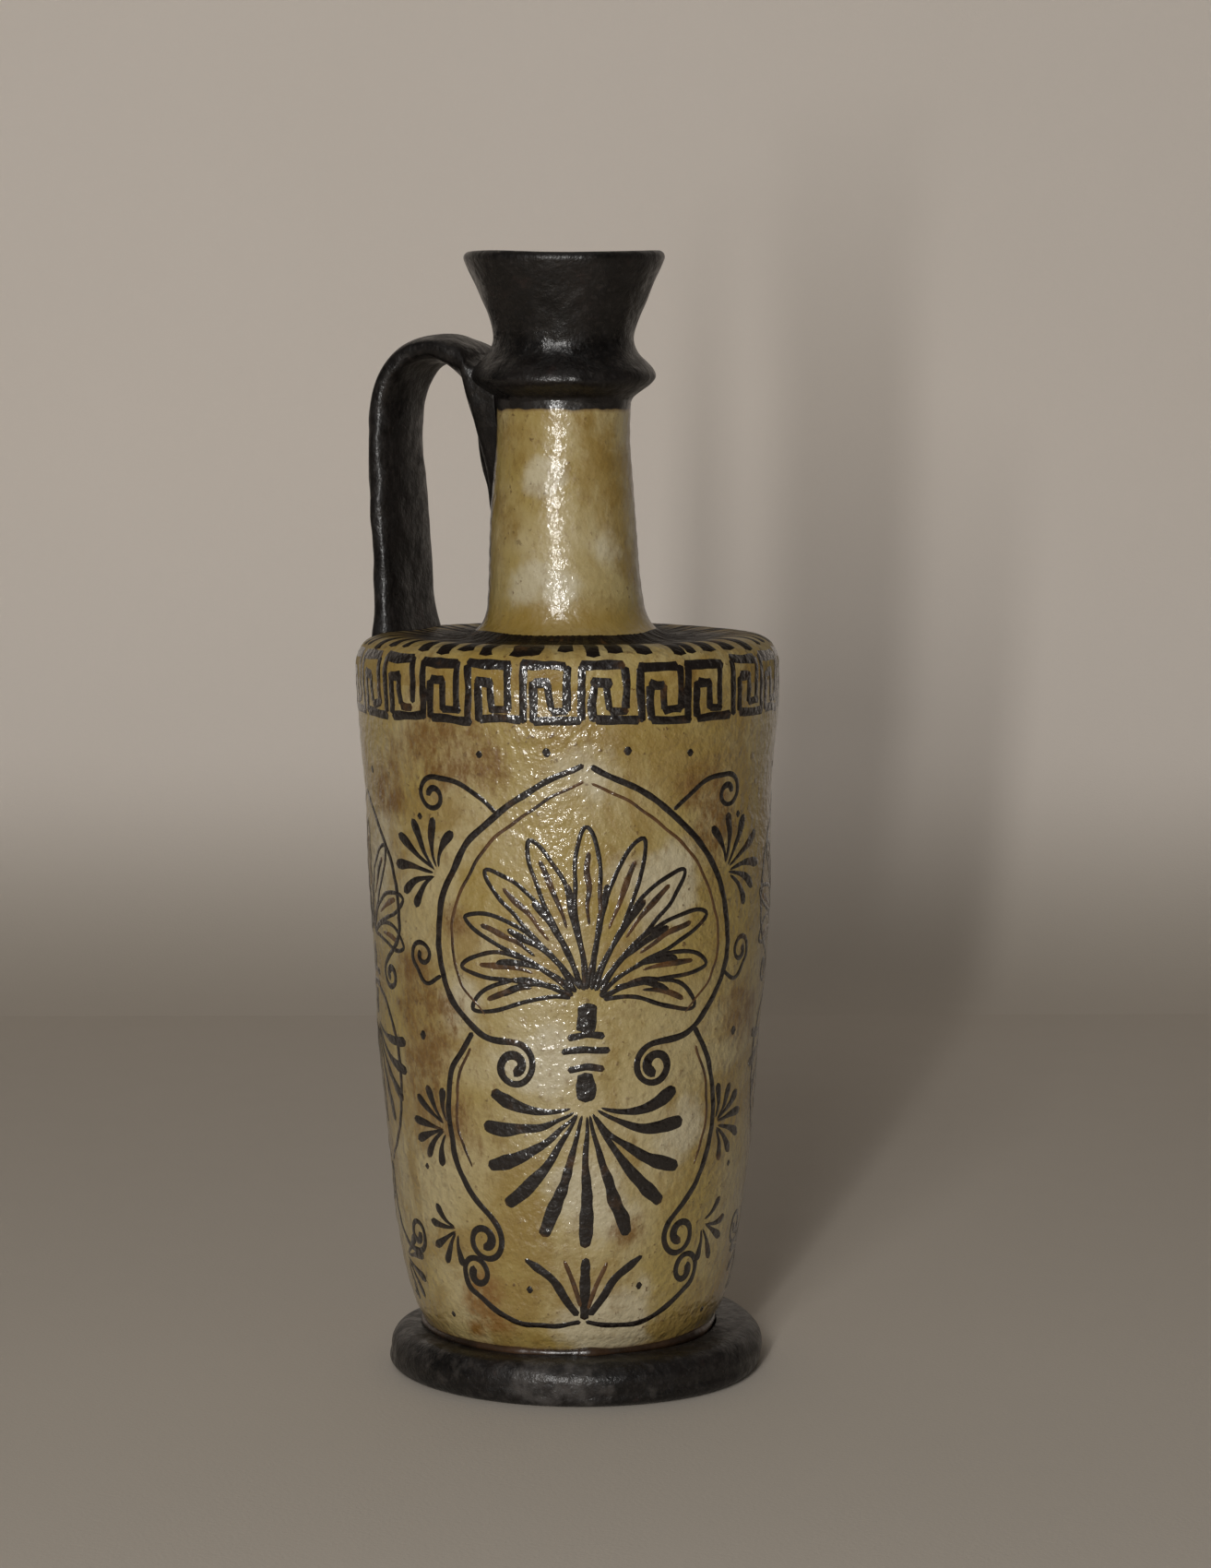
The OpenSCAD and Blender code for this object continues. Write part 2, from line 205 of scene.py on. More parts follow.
def write_mesh(name, points, faces, loop_uv=None):
    """Makes an object from points in mm and faces, with its UV map, smooth but for real corners."""
    mesh = bpy.data.meshes.new(name)
    mesh.from_pydata((np.asarray(points) * MM).tolist(), [], faces)
    if loop_uv is not None:
        loop_uv = np.asarray(loop_uv, np.float32)
        mesh.uv_layers.new(name="OFBake").data.foreach_set("uv", loop_uv.ravel())
    mesh.validate()
    shell = bmesh.new()
    shell.from_mesh(mesh)
    bmesh.ops.recalc_face_normals(shell, faces=shell.faces)
    shell.to_mesh(mesh)
    shell.free()
    mesh.polygons.foreach_set("use_smooth", np.ones(len(mesh.polygons), bool))
    mesh.set_sharp_from_angle(angle=math.radians(SHARP_FROM))
    piece = bpy.data.objects.new(name, mesh)
    bpy.context.scene.collection.objects.link(piece)
    return piece

# %% [markdown]
# A grid of points, rows by columns, becomes quads with a little index arithmetic. Its columns close
# on themselves round the pot, and a ring closes its rows too. Any other shell is shut at both ends by
# a fan to one point, so none has a hole. Each mesh gets its own UV map, laid out like the grid, with
# each row as high as its widest step, because an even map keeps the baked colour of a tall pot sharp.

# %% Skin over a grid
COLUMNS = 320
ROUND = np.arange(COLUMNS) * 360.0 / COLUMNS

def grid_quads(rows, cols, ring=False):
    """Row and column of each quad, and the numbers of its four points; rows close up only in a ring."""
    i, j = np.meshgrid(np.arange(rows if ring else rows - 1), np.arange(cols), indexing="ij")
    i, j = i.ravel(), j.ravel()
    here, there, beside = i * cols, (i + 1) % rows * cols, (j + 1) % cols
    return i, j, np.stack([here + j, here + beside, there + beside, there + j], axis=1)

def grid_piece(name, grid, first_pole=None, last_pole=None, ring=False):
    """A skin over `grid` (rows, columns, xyz): rows close up if `ring`, else poles shut the ends."""
    rows, cols = grid.shape[:2]
    i, j, quad = grid_quads(rows, cols, ring)
    chain = np.vstack([grid, grid[:1]]) if ring else grid
    size = np.linalg.norm(np.diff(chain, axis=0), axis=2).max(axis=1)
    v = np.concatenate([[0], np.cumsum(size)]) / size.sum()
    corners = ((0, 0), (1, 0), (1, 1), (0, 1))
    uv = np.stack([np.stack([(j + a) / cols, v[i + b]], axis=1) for a, b in corners], axis=1)
    points, faces, loops = grid.reshape(-1, 3), quad.tolist(), uv.reshape(-1, 2).tolist()
    for pole, row, flip in ((first_pole, 0, True), (last_pole, rows - 1, False)):
        if pole is None:
            continue
        points = np.vstack([points, pole])
        k = np.arange(cols)
        edge = [row * cols + k, row * cols + (k + 1) % cols]
        if flip:
            edge.reverse()
        faces += np.stack([*edge, np.full(cols, len(points) - 1)], axis=1).tolist()
        loops += [[0.5, 0.999 if row else 0.001]] * (3 * cols)
    return write_mesh(name, points, faces, loops)

# %% [markdown]
# ## Body and shoulder
# The body is a shell: its outside is the painted skin, then the rim on which the shoulder sits, then
# the inside wall down to the floor. The shoulder is the rest of the skin, with a ring under it that
# drops into the body. They meet on the same points, so the seam can't be seen, as on the glazed pot.

# %% Clay under the paint
def turned(outline, wobble=None):
    """Rows of an outline of radius and height, turned about the leaning axis, a wobble on the radius."""
    outline = np.asarray(outline, float)
    r, z = outline[:, :1], outline[:, 1:2] + np.zeros((1, COLUMNS))
    reach = r + (wobble(ROUND[None, :], z) if wobble else 0.0)
    return np.concatenate([reach[..., None] * rays(ROUND) + axis_shift(z), z[..., None]], axis=-1)

def on_axis(z):
    """The point of the leaning axis at height z."""
    return np.append(axis_shift(np.array(float(z))), z)

WALL = 6.0
CAVITY_FLOOR = FOOT_TOP + 6
inside = wall_line[::-3] - [WALL, 0]
inside = inside[inside[:, 1] > CAVITY_FLOOR + 3]
body_rows = np.concatenate([
    turned(above(BODY_FLOOR, (12, 0), (26, 0), (38.8, 0))),
    skin_at(ROUND[None, :], skin_run[:len(wall_line), None]),
    turned(np.vstack([[(54, SEAM_Z)], inside, [(32.8, CAVITY_FLOOR), (16, CAVITY_FLOOR)]])),
])
body = grid_piece("thrown_wall", body_rows, on_axis(BODY_FLOOR), on_axis(CAVITY_FLOOR))

# the neck stands in a hole of this radius, whose lower end lies this high
SOCKET_RADIUS = 14.7
SOCKET_LOW = LANDING_Z - 6
under = ([(SOCKET_RADIUS, SOCKET_LOW), (25, SOCKET_LOW)] + above(LANDING_Z, (36, -6.6), (44, -9))
         + above(SEAM_Z, (46.8, 0), (46.8, -4), (50.8, -4), (50.8, 0)))
shoulder_rows = np.concatenate([
    turned(under),
    skin_at(ROUND[None, :], skin_run[len(wall_line) - 1:, None]),
    turned(above(LANDING_Z, (19, -1), (SOCKET_RADIUS, -1))),
])
shoulder = grid_piece("domed_shoulder", shoulder_rows, ring=True)
print("body", len(body.data.polygons), "faces, shoulder", len(shoulder.data.polygons))

# %% [markdown]
# ## Neck, collar and cup
# These three are turned in the same way, each as a closed shell with its bore. The collar is a fat
# ring, bell-shaped above and tucked in below, and the cup flares from its waist to a rounded rim.
# Collar and cup were smoothed into one, so their outline is one curve that is cut at the waist. The
# collar's ridge dips towards the front; the rim is nearly level, a little higher at its two sides.

# %% Neck
BORE = 11.5
NECK_STATIONS = above(LANDING_Z, (25.6, -2.4), (24.8, -1.2), (23.6, -0.1), (22.4, 1.5), (21.4, 3.9),
                      (20.8, 8), (20.3, 14), (19.9, 22), (19.4, 30), (18.7, 39), (18.1, 47), (17.9, 52),
                      (17.9, 56), (18, 60))

def finger_rings(angle, z):
    """Slow unevenness and a fine sine of height: rings about 4.4 mm apart, as fingers leave them."""
    return unevenness(angle, z, 0.12, 5) + 0.05 * np.sin(2 * np.pi * z / 4.4 + np.sin(z / 7))

neck_outline = np.vstack([
    smooth_line(NECK_STATIONS, 0.9), [(18, NECK_TOP), (BORE, NECK_TOP)],
    [(BORE, SOCKET_LOW), (SOCKET_RADIUS, SOCKET_LOW), (SOCKET_RADIUS, LANDING_Z - 2.9)]])
neck = grid_piece("neck_tube", turned(neck_outline, finger_rings), ring=True)
print("neck", len(neck.data.polygons), "faces")

# %% [markdown]
# The outline of collar and cup runs up the outside, over the rim and down the inside of the cup. It
# is cut at the waist. The dip is a cosine of the angle, which is the simplest tilt that fades out.

# %% Outline of collar and cup
COLLAR_STATIONS = above(COLLAR_LOW, (17.8, -1.4), (18.6, 0.3), (20.8, 2.0), (23.2, 3.8), (24.5, 5.7),
                        (23.9, 7.7), (22.2, 9.6), (20.2, 11.6), (19.1, 13.6))
WAIST = above(COLLAR_HIGH, (18.6, 0.6))
CUP_STATIONS = (above(COLLAR_HIGH, (19.0, 3.4), (20.3, 7.2), (22, 10.8), (23.7, 14.6), (25.5, 18.2))
                + above(RIM_Z, (26.5, -2.6), (26.8, -1.5), (26.4, -0.5), (25.3, 0), (23.8, -0.5),
                        (22.9, -1.8), (20.2, -8), (16.6, -16), (13.6, -23))
                + above(NECK_TOP, (11.9, 3)))
wrapped = smooth_line(COLLAR_STATIONS + WAIST + CUP_STATIONS, 0.6)
# the inside of the cup passes the waist's height again, so only the first rows are searched
OUTSIDE_ROWS = 60
waist_row = int(np.argmin(np.abs(wrapped[:OUTSIDE_ROWS, 1] - WAIST[0][1])))
print(f"the waist is row {waist_row} of {len(wrapped)}")

def top_wobble(angle, z):
    """Unevenness of collar and cup, with shorter waves than the wall's."""
    return unevenness(angle, z, 0.2, 21, pitch=45)

DIP = 1.5
DIP_GROWS, DIP_FADES = 6, 20

def dipped(rows):
    """Rows lowered in front and raised behind by a cosine of the angle, of size DIP round the waist.

    It grows from nothing at the collar's low end and fades to nothing at the rim.
    """
    z = rows[..., 2]
    share = np.clip((z - COLLAR_LOW) / DIP_GROWS, 0, 1) * np.clip((RIM_Z - z) / DIP_FADES, 0, 1)
    rows[..., 2] = z - DIP * np.cos(np.radians(ROUND)) * share
    return rows

# %% [markdown]
# Each part gets the rest of its section, closes up as a ring and is dipped. The rim then rises and
# falls by about half a millimetre, like an edge that was pinched level by eye.

# %% Collar and cup
collar_outline = np.vstack([wrapped[:waist_row + 1], [(17.6, COLLAR_HIGH), (17.4, COLLAR_LOW + 3)]])
collar = grid_piece("bell_collar", dipped(turned(collar_outline, top_wobble)), ring=True)

cup_outline = np.vstack([wrapped[waist_row:],
                         [(BORE, NECK_TOP), (17.4, NECK_TOP), (17.6, COLLAR_HIGH)]])
cup_rows = dipped(turned(cup_outline, top_wobble))
EDGE_DEPTH = 14
around_edge = np.radians(ROUND)
edge_rise = unevenness(ROUND, 0, 0.2, 3) - 0.55 * np.cos(2 * around_edge) + 0.25 * np.sin(around_edge)
cup_rows[..., 2] += edge_rise * np.clip((cup_rows[..., 2] - RIM_Z + EDGE_DEPTH) / EDGE_DEPTH, 0, 1)
cup = grid_piece("flaring_cup", cup_rows, ring=True)
print("collar and cup:", [len(p.data.polygons) for p in (collar, cup)], "faces")

# %% [markdown]
# ## The slab foot and its coil
# The foot was cut from a slab with a knife and smoothed with wet fingers: an uneven disc with a
# rounded edge, a little off the axis. Its outline is a circle with a three-lobed wander and one flat,
# where the knife cut in too far. Round the joint lies a thin coil of clay, where the glaze has run
# together and turned glossy brown. Its thickness wanders, and it swells into small lumps where the
# coil was pinched.

# %% Slab foot
OFF_CENTRE, OFF_ANGLE = 2.6, math.radians(2)
FOOT_CENTRE = OFF_CENTRE * np.array([math.cos(OFF_ANGLE), math.sin(OFF_ANGLE)])
SLAB_RADIUS = 50.5
CUT_AT, CUT_DEPTH, CUT_WIDTH = -126, 4.2, 19

def foot_reach(angle):
    """Radius of the slab: a circle, a cosine with three lobes, less a bell curve where the knife cut in."""
    from_cut = (angle - CUT_AT + 180) % 360 - 180
    lobes = 0.6 * np.cos(3 * np.radians(angle + FRONT) + np.radians(40))
    return SLAB_RADIUS + lobes - CUT_DEPTH * np.exp(-((from_cut / CUT_WIDTH) ** 2))

def foot_row(inset, z):
    """One ring of the slab, `inset` mm inside its outline, with the dents that fingers left."""
    dents = unevenness(ROUND, z * 6.0, 0.35, 31, waves=9) * np.clip(1 - inset / 20, 0, 1)
    reach = foot_reach(ROUND) + dents - inset
    sag = 0.25 * unevenness(ROUND, 0, 1.0, 33) if z > 4 else 0.0
    flat = FOOT_CENTRE + reach[:, None] * rays(ROUND)
    return np.concatenate([flat, np.full((COLUMNS, 1), float(z)) + np.reshape(sag, (-1, 1))], axis=1)

LOW_ROUND = 3.2
TOP_ROUND_IN, TOP_ROUND_DOWN = 4.4, 6.0
edge = np.radians(np.linspace(0, 90, 9))
foot_profile = (
    [(inset, 0.0) for inset in (36, 20, 8)]
    + [(LOW_ROUND * (1 - math.sin(a)), LOW_ROUND * (1 - math.cos(a))) for a in edge]
    + [(0.0, 3.8), (0.0, 4.4)]
    + [(TOP_ROUND_IN * (1 - math.cos(a)), FOOT_TOP - TOP_ROUND_DOWN * (1 - math.sin(a))) for a in edge]
    + [(inset, FOOT_TOP) for inset in (7, 9.5, 12)]
    + [(12.4, BODY_FLOOR), (30, BODY_FLOOR)])
foot_rows = np.stack([foot_row(inset, z) for inset, z in foot_profile])
foot = grid_piece("slab_foot", foot_rows, (*FOOT_CENTRE, 0), (*FOOT_CENTRE, BODY_FLOOR))
print("foot", len(foot.data.polygons), "faces")

# %% [markdown]
# The coil is a tube bent into a ring. Its lumps are bell curves on the thickness, each with a place, a
# width and a height, because that is how one would describe them by hand.

# %% Coil
COIL_RADIUS = 39.4
COIL_SIDES = 16
# place in degrees from the front, width in degrees and height in mm of each lump
COIL_LUMPS = ((8, 5.5, 0.9), (60, 12, 0.8), (-20, 3, 0.25), (128, 6, 0.5), (-130, 8, 0.4))

def coil_rows():
    """A tube bent into a ring: its thickness is a slow wander plus a bell curve for each lump."""
    thick = 0.95 + unevenness(ROUND, 0, 0.12, 41)
    for at, width, size in COIL_LUMPS:
        gap = (ROUND - at + 180) % 360 - 180
        thick = thick + size * np.exp(-((gap / width) ** 2))
    around = np.radians(np.arange(COIL_SIDES) * 360 / COIL_SIDES)[:, None]
    radius = COIL_RADIUS + thick[None, :] * np.cos(around)
    z = FOOT_TOP + 0.45 + thick[None, :] * np.sin(around)
    return np.concatenate([radius[..., None] * rays(ROUND), z[..., None]], axis=-1)

coil = grid_piece("luting_coil", coil_rows(), ring=True)
print("coil", len(coil.data.polygons), "faces")

# %% [markdown]
# ## The strap handle
# The handle is one pulled strap: it stands on the shoulder's edge, rises beside the neck, turns over
# in a round arch and is pressed onto the collar, with a tail thumbed down the neck. Each station
# gives the middle line, the half thickness outwards and inwards, and the half width; a section is a
# rounded oblong that leans with the line. Near the neck the inner half grows deep and narrow,
# which makes the web of clay under the arch and its pointed tail.

# %% Handle
CROWN = NECK_TOP + 7.3
# distance from the axis, height, lean in degrees, half thickness outwards and inwards, half width
STRAP = np.array(
    above(LANDING_Z, (49.2, -7, 0, 4.6, 5.8, 16.5), (49.6, -2.8, 0, 4.4, 5.2, 15.6),
          (49.8, 1.6, 0, 4.0, 4.4, 14.4), (49.9, 7, 0, 3.7, 4.0, 13.6), (50.1, 21, 0, 3.5, 4.4, 13.3),
          (50.7, 35, 2, 3.5, 4.8, 12.9), (51.3, 46, 2, 3.4, 5.1, 12.4), (51.5, 55.5, 2, 3.4, 5.1, 12.0))
    + above(NECK_TOP, (50.7, -5.6, 16, 3.4, 4.8, 11.8), (48.6, -0.2, 32, 3.5, 4.6, 11.6),
            (45.2, 4.1, 50, 3.5, 4.0, 11.4), (40.5, 6.6, 70, 3.5, 3.7, 11.4))
    + above(CROWN, (35.2, 0, 86, 3.6, 3.7, 11.6), (31.8, -0.5, 91, 3.7, 4.6, 11.8),
            (28.6, -1.7, 93, 3.7, 7.1, 12.0), (26.4, -2.9, 95, 3.7, 10.4, 12.2),
            (25.1, -3.8, 95, 3.7, 13.2, 12.4), (24.4, -4.6, 95, 3.7, 17.4, 12.6),
            (23.9, -5.1, 94, 3.6, 21.9, 12.8), (23.5, -5.7, 92, 3.5, 26.6, 12.9),
            (22.9, -6.1, 90, 3.5, 31.1, 12.9), (22.2, -6.5, 90, 3.4, 36.0, 12.8),
            (21.0, -6.9, 90, 3.3, 40.5, 12.6), (19.0, -7.4, 90, 3.2, 43.5, 12.4),
            (15.0, -8.0, 90, 3.0, 44.5, 12.0)))

def soft_power(v, p):
    """A sine or cosine raised to a power with its sign kept, which squares a circle or pinches it."""
    return np.sign(v) * np.abs(v) ** p

def strap_rows(stations, columns=72):
    """Sections of the strap: super-ellipse halves that lean with the line, pointed where it is deep."""
    x, z, lean, out, deep, half = smooth_line(stations, 1.3).T[..., None]
    t = np.radians(np.arange(columns) * 360.0 / columns)[None, :]
    c, s = np.cos(t), np.sin(t)
    pointed = np.clip((deep / out - 1.2) / 1.5, 0, 1) * (c < 0)
    thick = np.where(c > 0, out, deep) * ((1 - pointed) * soft_power(c, 0.66) + pointed * c)
    side = half * ((1 - pointed) * soft_power(s, 0.66) + pointed * soft_power(s, 5))
    lean = np.radians(lean)
    lumps = unevenness(np.degrees(t), z * 3.0 + x * 2.0, 0.22, 51, waves=8)
    rows = np.stack([-(x + (thick + lumps * c) * np.cos(lean)), side + lumps * s,
                     z + (thick + lumps * c) * np.sin(lean)], axis=-1)
    rows[..., :2] += axis_shift(rows[..., 2])
    return rows

strap = strap_rows(STRAP)
handle = grid_piece("strap_handle", strap[:, ::-1], strap[0].mean(axis=0), strap[-1].mean(axis=0))
print("handle", len(handle.data.polygons), "faces")

# %% [markdown]
# ## Brush strokes
# A painted line could be a texture, but a real brush leaves a thin layer with a soft swollen edge
# that catches the light. So each stroke is a very thin closed ribbon on the clay: a path of angle and
# distance along the outline, sampled every half millimetre or so, with six points round it. The
# path shakes a little, the width swells and pinches, and both ends are rounded, as with a loaded brush.
# How much oxide lies on it goes into the attribute `ink`: thin paint burns brown, thick paint black.

# %% One stroke
PROUD = 0.06
PATH_STEP = 0.55
ACROSS = np.array([-1, -0.78, 0, 0.78, 1, 0])
HEIGHT = np.array([-0.05, 0.75 * PROUD, PROUD, 0.75 * PROUD, -0.05, -0.14])

def waver(length, draw, waves=5, shortest=8.0, longest=32.0):
    """Smooth noise of about unit size along a stroke: a sum of sines with drawn lengths and phases."""
    wave = draw.uniform(shortest, longest, waves)[:, None]
    phase = draw.uniform(0, 6.28, (waves, 1))
    return np.sin(2 * np.pi * length[None, :] / wave + phase).sum(axis=0) / math.sqrt(waves)

def brush_stroke(path, width, draw, ends=0.9, shake=0.16, ragged=0.06, load=0.88):
    """Ribbon along a path of (angle, run): `width` mm wide, a number or stations (share of length, width).

    The path is laid flat in mm, shaken sideways and widened to both sides, and `skin_at` bends it round.
    """
    per_degree = np.interp(np.mean(path[:, 1]), skin_run, skin_line[:, 0]) * math.pi / 180
    line = resample(np.asarray(path, float) * [per_degree, 1], PATH_STEP)
    length = np.concatenate([[0], np.cumsum(np.linalg.norm(np.diff(line, axis=0), axis=1))])
    along = np.gradient(line, axis=0)
    along /= np.linalg.norm(along, axis=1, keepdims=True)
    side = np.stack([-along[:, 1], along[:, 0]], axis=1)
    line = line + side * (shake * waver(length, draw))[:, None]
    share = length / length[-1]
    stations = np.atleast_2d(width) if np.ndim(width) else np.array([[0, width], [1, width]])
    pinch = 1 + ragged * waver(length, draw, shortest=4.0, longest=14.0)
    half = 0.5 * np.interp(share, stations[:, 0], stations[:, 1]) * pinch
    room = np.minimum(np.minimum(length, length[-1] - length) / ends, 1)
    half = half * np.sqrt(1 - (1 - room) ** 2) + 0.04
    spread = line[:, None, :] + side[:, None, :] * (ACROSS[None, :, None] * half[:, None, None])
    lift = HEIGHT * draw.uniform(0.85, 1.25)
    points = skin_at(spread[..., 0] / per_degree, spread[..., 1], lift[None, :])
    ink = load + draw.uniform(-0.14, 0.12) - 0.25 * (1 - room) + 0.12 * waver(length, draw)
    return points, length, np.clip(ink, 0, 1)

# %% [markdown]
# Hundreds of strokes would be hundreds of objects, so those of one ornament go into one mesh. Each
# keeps a band of the map to itself, and its ink goes along as one value for each point.

# %% Many strokes in one mesh
def paint(name, strokes):
    """One object of many strokes, with the ink attribute, and a UV band for each stroke."""
    points, faces, uv, ink = [], [], [], []
    longest = max(length[-1] for _, length, _ in strokes)
    start, n = 0, len(ACROSS)
    c = np.arange(n)
    corners = ((0, 0), (0, 1), (1, 1), (1, 0))
    for k, (grid, length, amount) in enumerate(strokes):
        i, j, quad = grid_quads(len(grid), n)
        far_end = start + (len(grid) - 1) * n
        faces += (start + quad).tolist() + [(start + c[::-1]).tolist(), (far_end + c).tolist()]
        across = lambda at: (k + 0.1 + 0.8 * at / n) / len(strokes)
        u = 0.99 * length / longest
        sides = np.stack([np.stack([u[i + a], across(j + b)], axis=1) for a, b in corners], axis=1)
        uv += [sides.reshape(-1, 2), np.stack([np.full(n, u[0]), across(c[::-1])], axis=1),
               np.stack([np.full(n, u[-1]), across(c)], axis=1)]
        points.append(grid.reshape(-1, 3))
        ink.append(np.repeat(amount, n))
        start += len(grid) * n
    piece = write_mesh(name, np.vstack(points), faces, np.vstack(uv))
    layer = piece.data.attributes.new("ink", "FLOAT", "POINT")
    layer.data.foreach_set("value", np.concatenate(ink).astype(np.float32))
    return piece

print(f"strokes stand {PROUD} mm proud of the clay")

# %% [markdown]
# ## The key pattern
# The old key pattern runs round the turn of the shoulder in twenty-four units. Each unit was put down
# as eight short strokes that don't always meet, and the painter's spacing drifts. One unit is written
# as shares of its pitch and height; the loop draws it all the way round, with a little drift in the
# place, height and lean of each stroke. The upper line sags a little to the right of the front.

# %% Key pattern
UNITS = 24
PITCH = 360 / UNITS
KEY_START = 3.5
KEY_LOW, KEY_HIGH = SEAM_RUN - 7.6, SEAM_RUN + 7.1
SAG, SAG_AT, SAG_WIDTH = 1.4, 20, 22
# strokes of one unit: two ends as (share of pitch, share of height), and a width in mm
KEY_STROKES = (((0.00, -0.03), (0.01, 1.02), 2.2), ((-0.04, 1.00), (0.80, 0.98), 2.8),
               ((0.76, 1.00), (0.76, 0.17), 2.1), ((0.80, 0.18), (0.44, 0.17), 2.1),
               ((0.47, 0.15), (0.45, 0.68), 2.0), ((0.50, 0.66), (0.17, 0.67), 2.6),
               ((0.20, 0.69), (0.20, -0.02), 2.2), ((0.17, 0.00), (1.02, 0.00), 2.3))

def key_pattern():
    """All the strokes of the key pattern, unit after unit round the pot."""
    draw = np.random.default_rng(7)
    strokes = []
    for unit in range(UNITS):
        left = KEY_START + PITCH * unit + draw.uniform(-0.7, 0.7)
        low = KEY_LOW + draw.uniform(-0.4, 0.4)
        sag = SAG * math.exp(-(((left - SAG_AT) / SAG_WIDTH) ** 2))
        high = KEY_HIGH + draw.uniform(-0.4, 0.4) - sag
        for start, end, width in KEY_STROKES:
            ends = np.array([start, end]) + draw.normal(0, 0.02, (2, 2))
            path = np.stack([left + PITCH * ends[:, 0], low + (high - low) * ends[:, 1]], axis=1)
            middle = path.mean(axis=0) + draw.normal(0, 0.12, 2)
            swell = draw.uniform(0.95, 1.22, 3)
            wide = [(0, width * swell[0]), (0.5, width * swell[1]), (1, width * swell[2])]
            strokes.append(brush_stroke(np.array([path[0], middle, path[1]]), wide, draw, ends=0.6))
    return strokes

key_band = paint("key_pattern_band", key_pattern())
print("key pattern:", len(key_band.data.polygons), "faces")

# %% [markdown]
# ## Tongues on the shoulder
# Short dark tongues hang from the foot of the neck like the rays of a sun. They are dense where they
# start, so that the brush marks run together into a dark ring, and blunt where they end. Their
# spacing and lengths are uneven, because each was one pull of a wide brush, and short dry marks lie
# between them.

# %% Tongues
TONGUES = 48
TONGUE_START = skin_run[-1] - 1.5
TONGUE_END = SEAM_RUN + 9.5

def tongue_strokes():
    """One stroke for each tongue, from the neck outwards, each with its own length, width and lean."""
    draw = np.random.default_rng(19)
    strokes = []
    for k in range(TONGUES):
        angle = 360 * (k + draw.uniform(-0.28, 0.28)) / TONGUES
        side = abs(math.sin(math.radians(angle)))
        end = TONGUE_END + draw.uniform(-0.9, 1.3) - 0.5 * side
        lean = draw.uniform(-1.6, 1.6)
        path = np.array([(angle + lean, TONGUE_START), (angle + lean / 3, (TONGUE_START + end) / 2),
                         (angle, end)])
        wide = draw.uniform(3.0, 4.6) - 0.8 * side
        widths = [(0, 1.8), (0.55, 1.4), (0.65, 0.85 * wide), (1, 1.05 * wide)]
        strokes.append(brush_stroke(path, widths, draw, ends=0.3, shake=0.25, ragged=0.12, load=0.95))
        for _ in range(2):
            at = angle + draw.uniform(-4, 4)
            stop = TONGUE_START - draw.uniform(5, 13)
            dry = np.array([(at, TONGUE_START + 1), (at + draw.uniform(-2, 2), stop)])
            strokes.append(brush_stroke(dry, [(0, 2.2), (1, 0.5)], draw, ends=0.5, ragged=0.25))
    return strokes

tongues = paint("shoulder_tongues", tongue_strokes())
print("tongues:", len(tongues.data.polygons), "faces")

# %% [markdown]
# ## Palmettes
# The field below carries an old plant ornament in the same brush: fans of leaves called palmettes,
# tied back to back, with tendrils that curl into spirals. A design like this is drawn flat first, in
# millimetres to the right and up, and then laid round the pot. Three small functions draw a leaf fan,
# a free line whose end can curl, and a dot; one mirrors them, and one lays them round the pot.

# %% Drawing flat
FIELD_RADIUS = 53.0

def leaf_fan(heart, aim, leaves, spread, reach, wide, inner=3.2, hollow=False):
    """Leaves from a heart point, each a gently bending ray, longest along `aim`.

    A hollow leaf is a loop of line round a belly, with a paler rib inside.
    """
    strokes = []
    t = np.sin(np.linspace(0, np.pi / 2, 24))[:, None]
    for k in range(leaves):
        turn = math.radians(spread) * (2 * k / (leaves - 1) - 1)
        far = reach * (0.42 + 0.58 * math.cos(turn * 0.62) ** 2)
        bend = math.radians(aim) + turn * (0.72 + 0.40 * t)
        spine = np.array(heart) + (inner + (far - inner) * t) * np.hstack([np.sin(bend), np.cos(bend)])
        if not hollow:
            strokes.append((spine, [(0, 0.7), (0.35, 0.45 * wide), (0.8, wide), (1, 0.8 * wide)], 1.4, 0.9))
            continue
        along = np.gradient(spine, axis=0)
        across = np.stack([-along[:, 1], along[:, 0]], axis=1) / np.linalg.norm(along, axis=1, keepdims=True)
        belly = 0.5 * wide * np.sin(np.pi * t ** 1.7) ** 0.6 * across
        strokes.append((np.vstack([spine + belly, (spine - belly)[::-1]]), 1.25, 0.5, 0.92))
        strokes.append((spine[6:16], [(0, 0.7), (0.7, 1.9), (1, 1.3)], 0.9, 0.5))
    return strokes

# %% [markdown]
# Tendrils are free lines, and a curl is a circle whose radius shrinks as it turns. Every function here
# gives paths with their widths, ends and load, so that they can be joined in one list and mirrored.

# %% Lines, dots and mirroring
def free_line(points, wide=1.5, curl=None, load=0.9):
    """A smooth line through points; `curl` (radius, turns, hand) winds its end into a tightening spiral."""
    path = smooth_line(points, 1.0)
    if curl:
        radius, turns, hand = curl
        ahead = path[-1] - path[-2]
        ahead /= np.linalg.norm(ahead)
        side = hand * np.array([-ahead[1], ahead[0]])
        t = np.linspace(0, 1, 50)[1:, None]
        turn, size = 2 * np.pi * turns * t, radius * (1 - 0.8 * t)
        spiral = side * radius + size * (ahead * np.sin(turn) - side * np.cos(turn))
        path = np.vstack([path, path[-1] + spiral])
    end = 1.5 * wide if curl else 0.5 * wide
    return [(path, [(0, 0.8 * wide), (0.4, wide), (0.85, 0.9 * wide), (1, end)], 0.8, load)]

def dot(at, size=2.4):
    """A round touch of the brush."""
    ends = np.array([(at[0] - 0.42 * size, at[1]), (at[0] + 0.42 * size, at[1] + 0.1)])
    return [(ends, size, 0.5 * size, 0.95)]

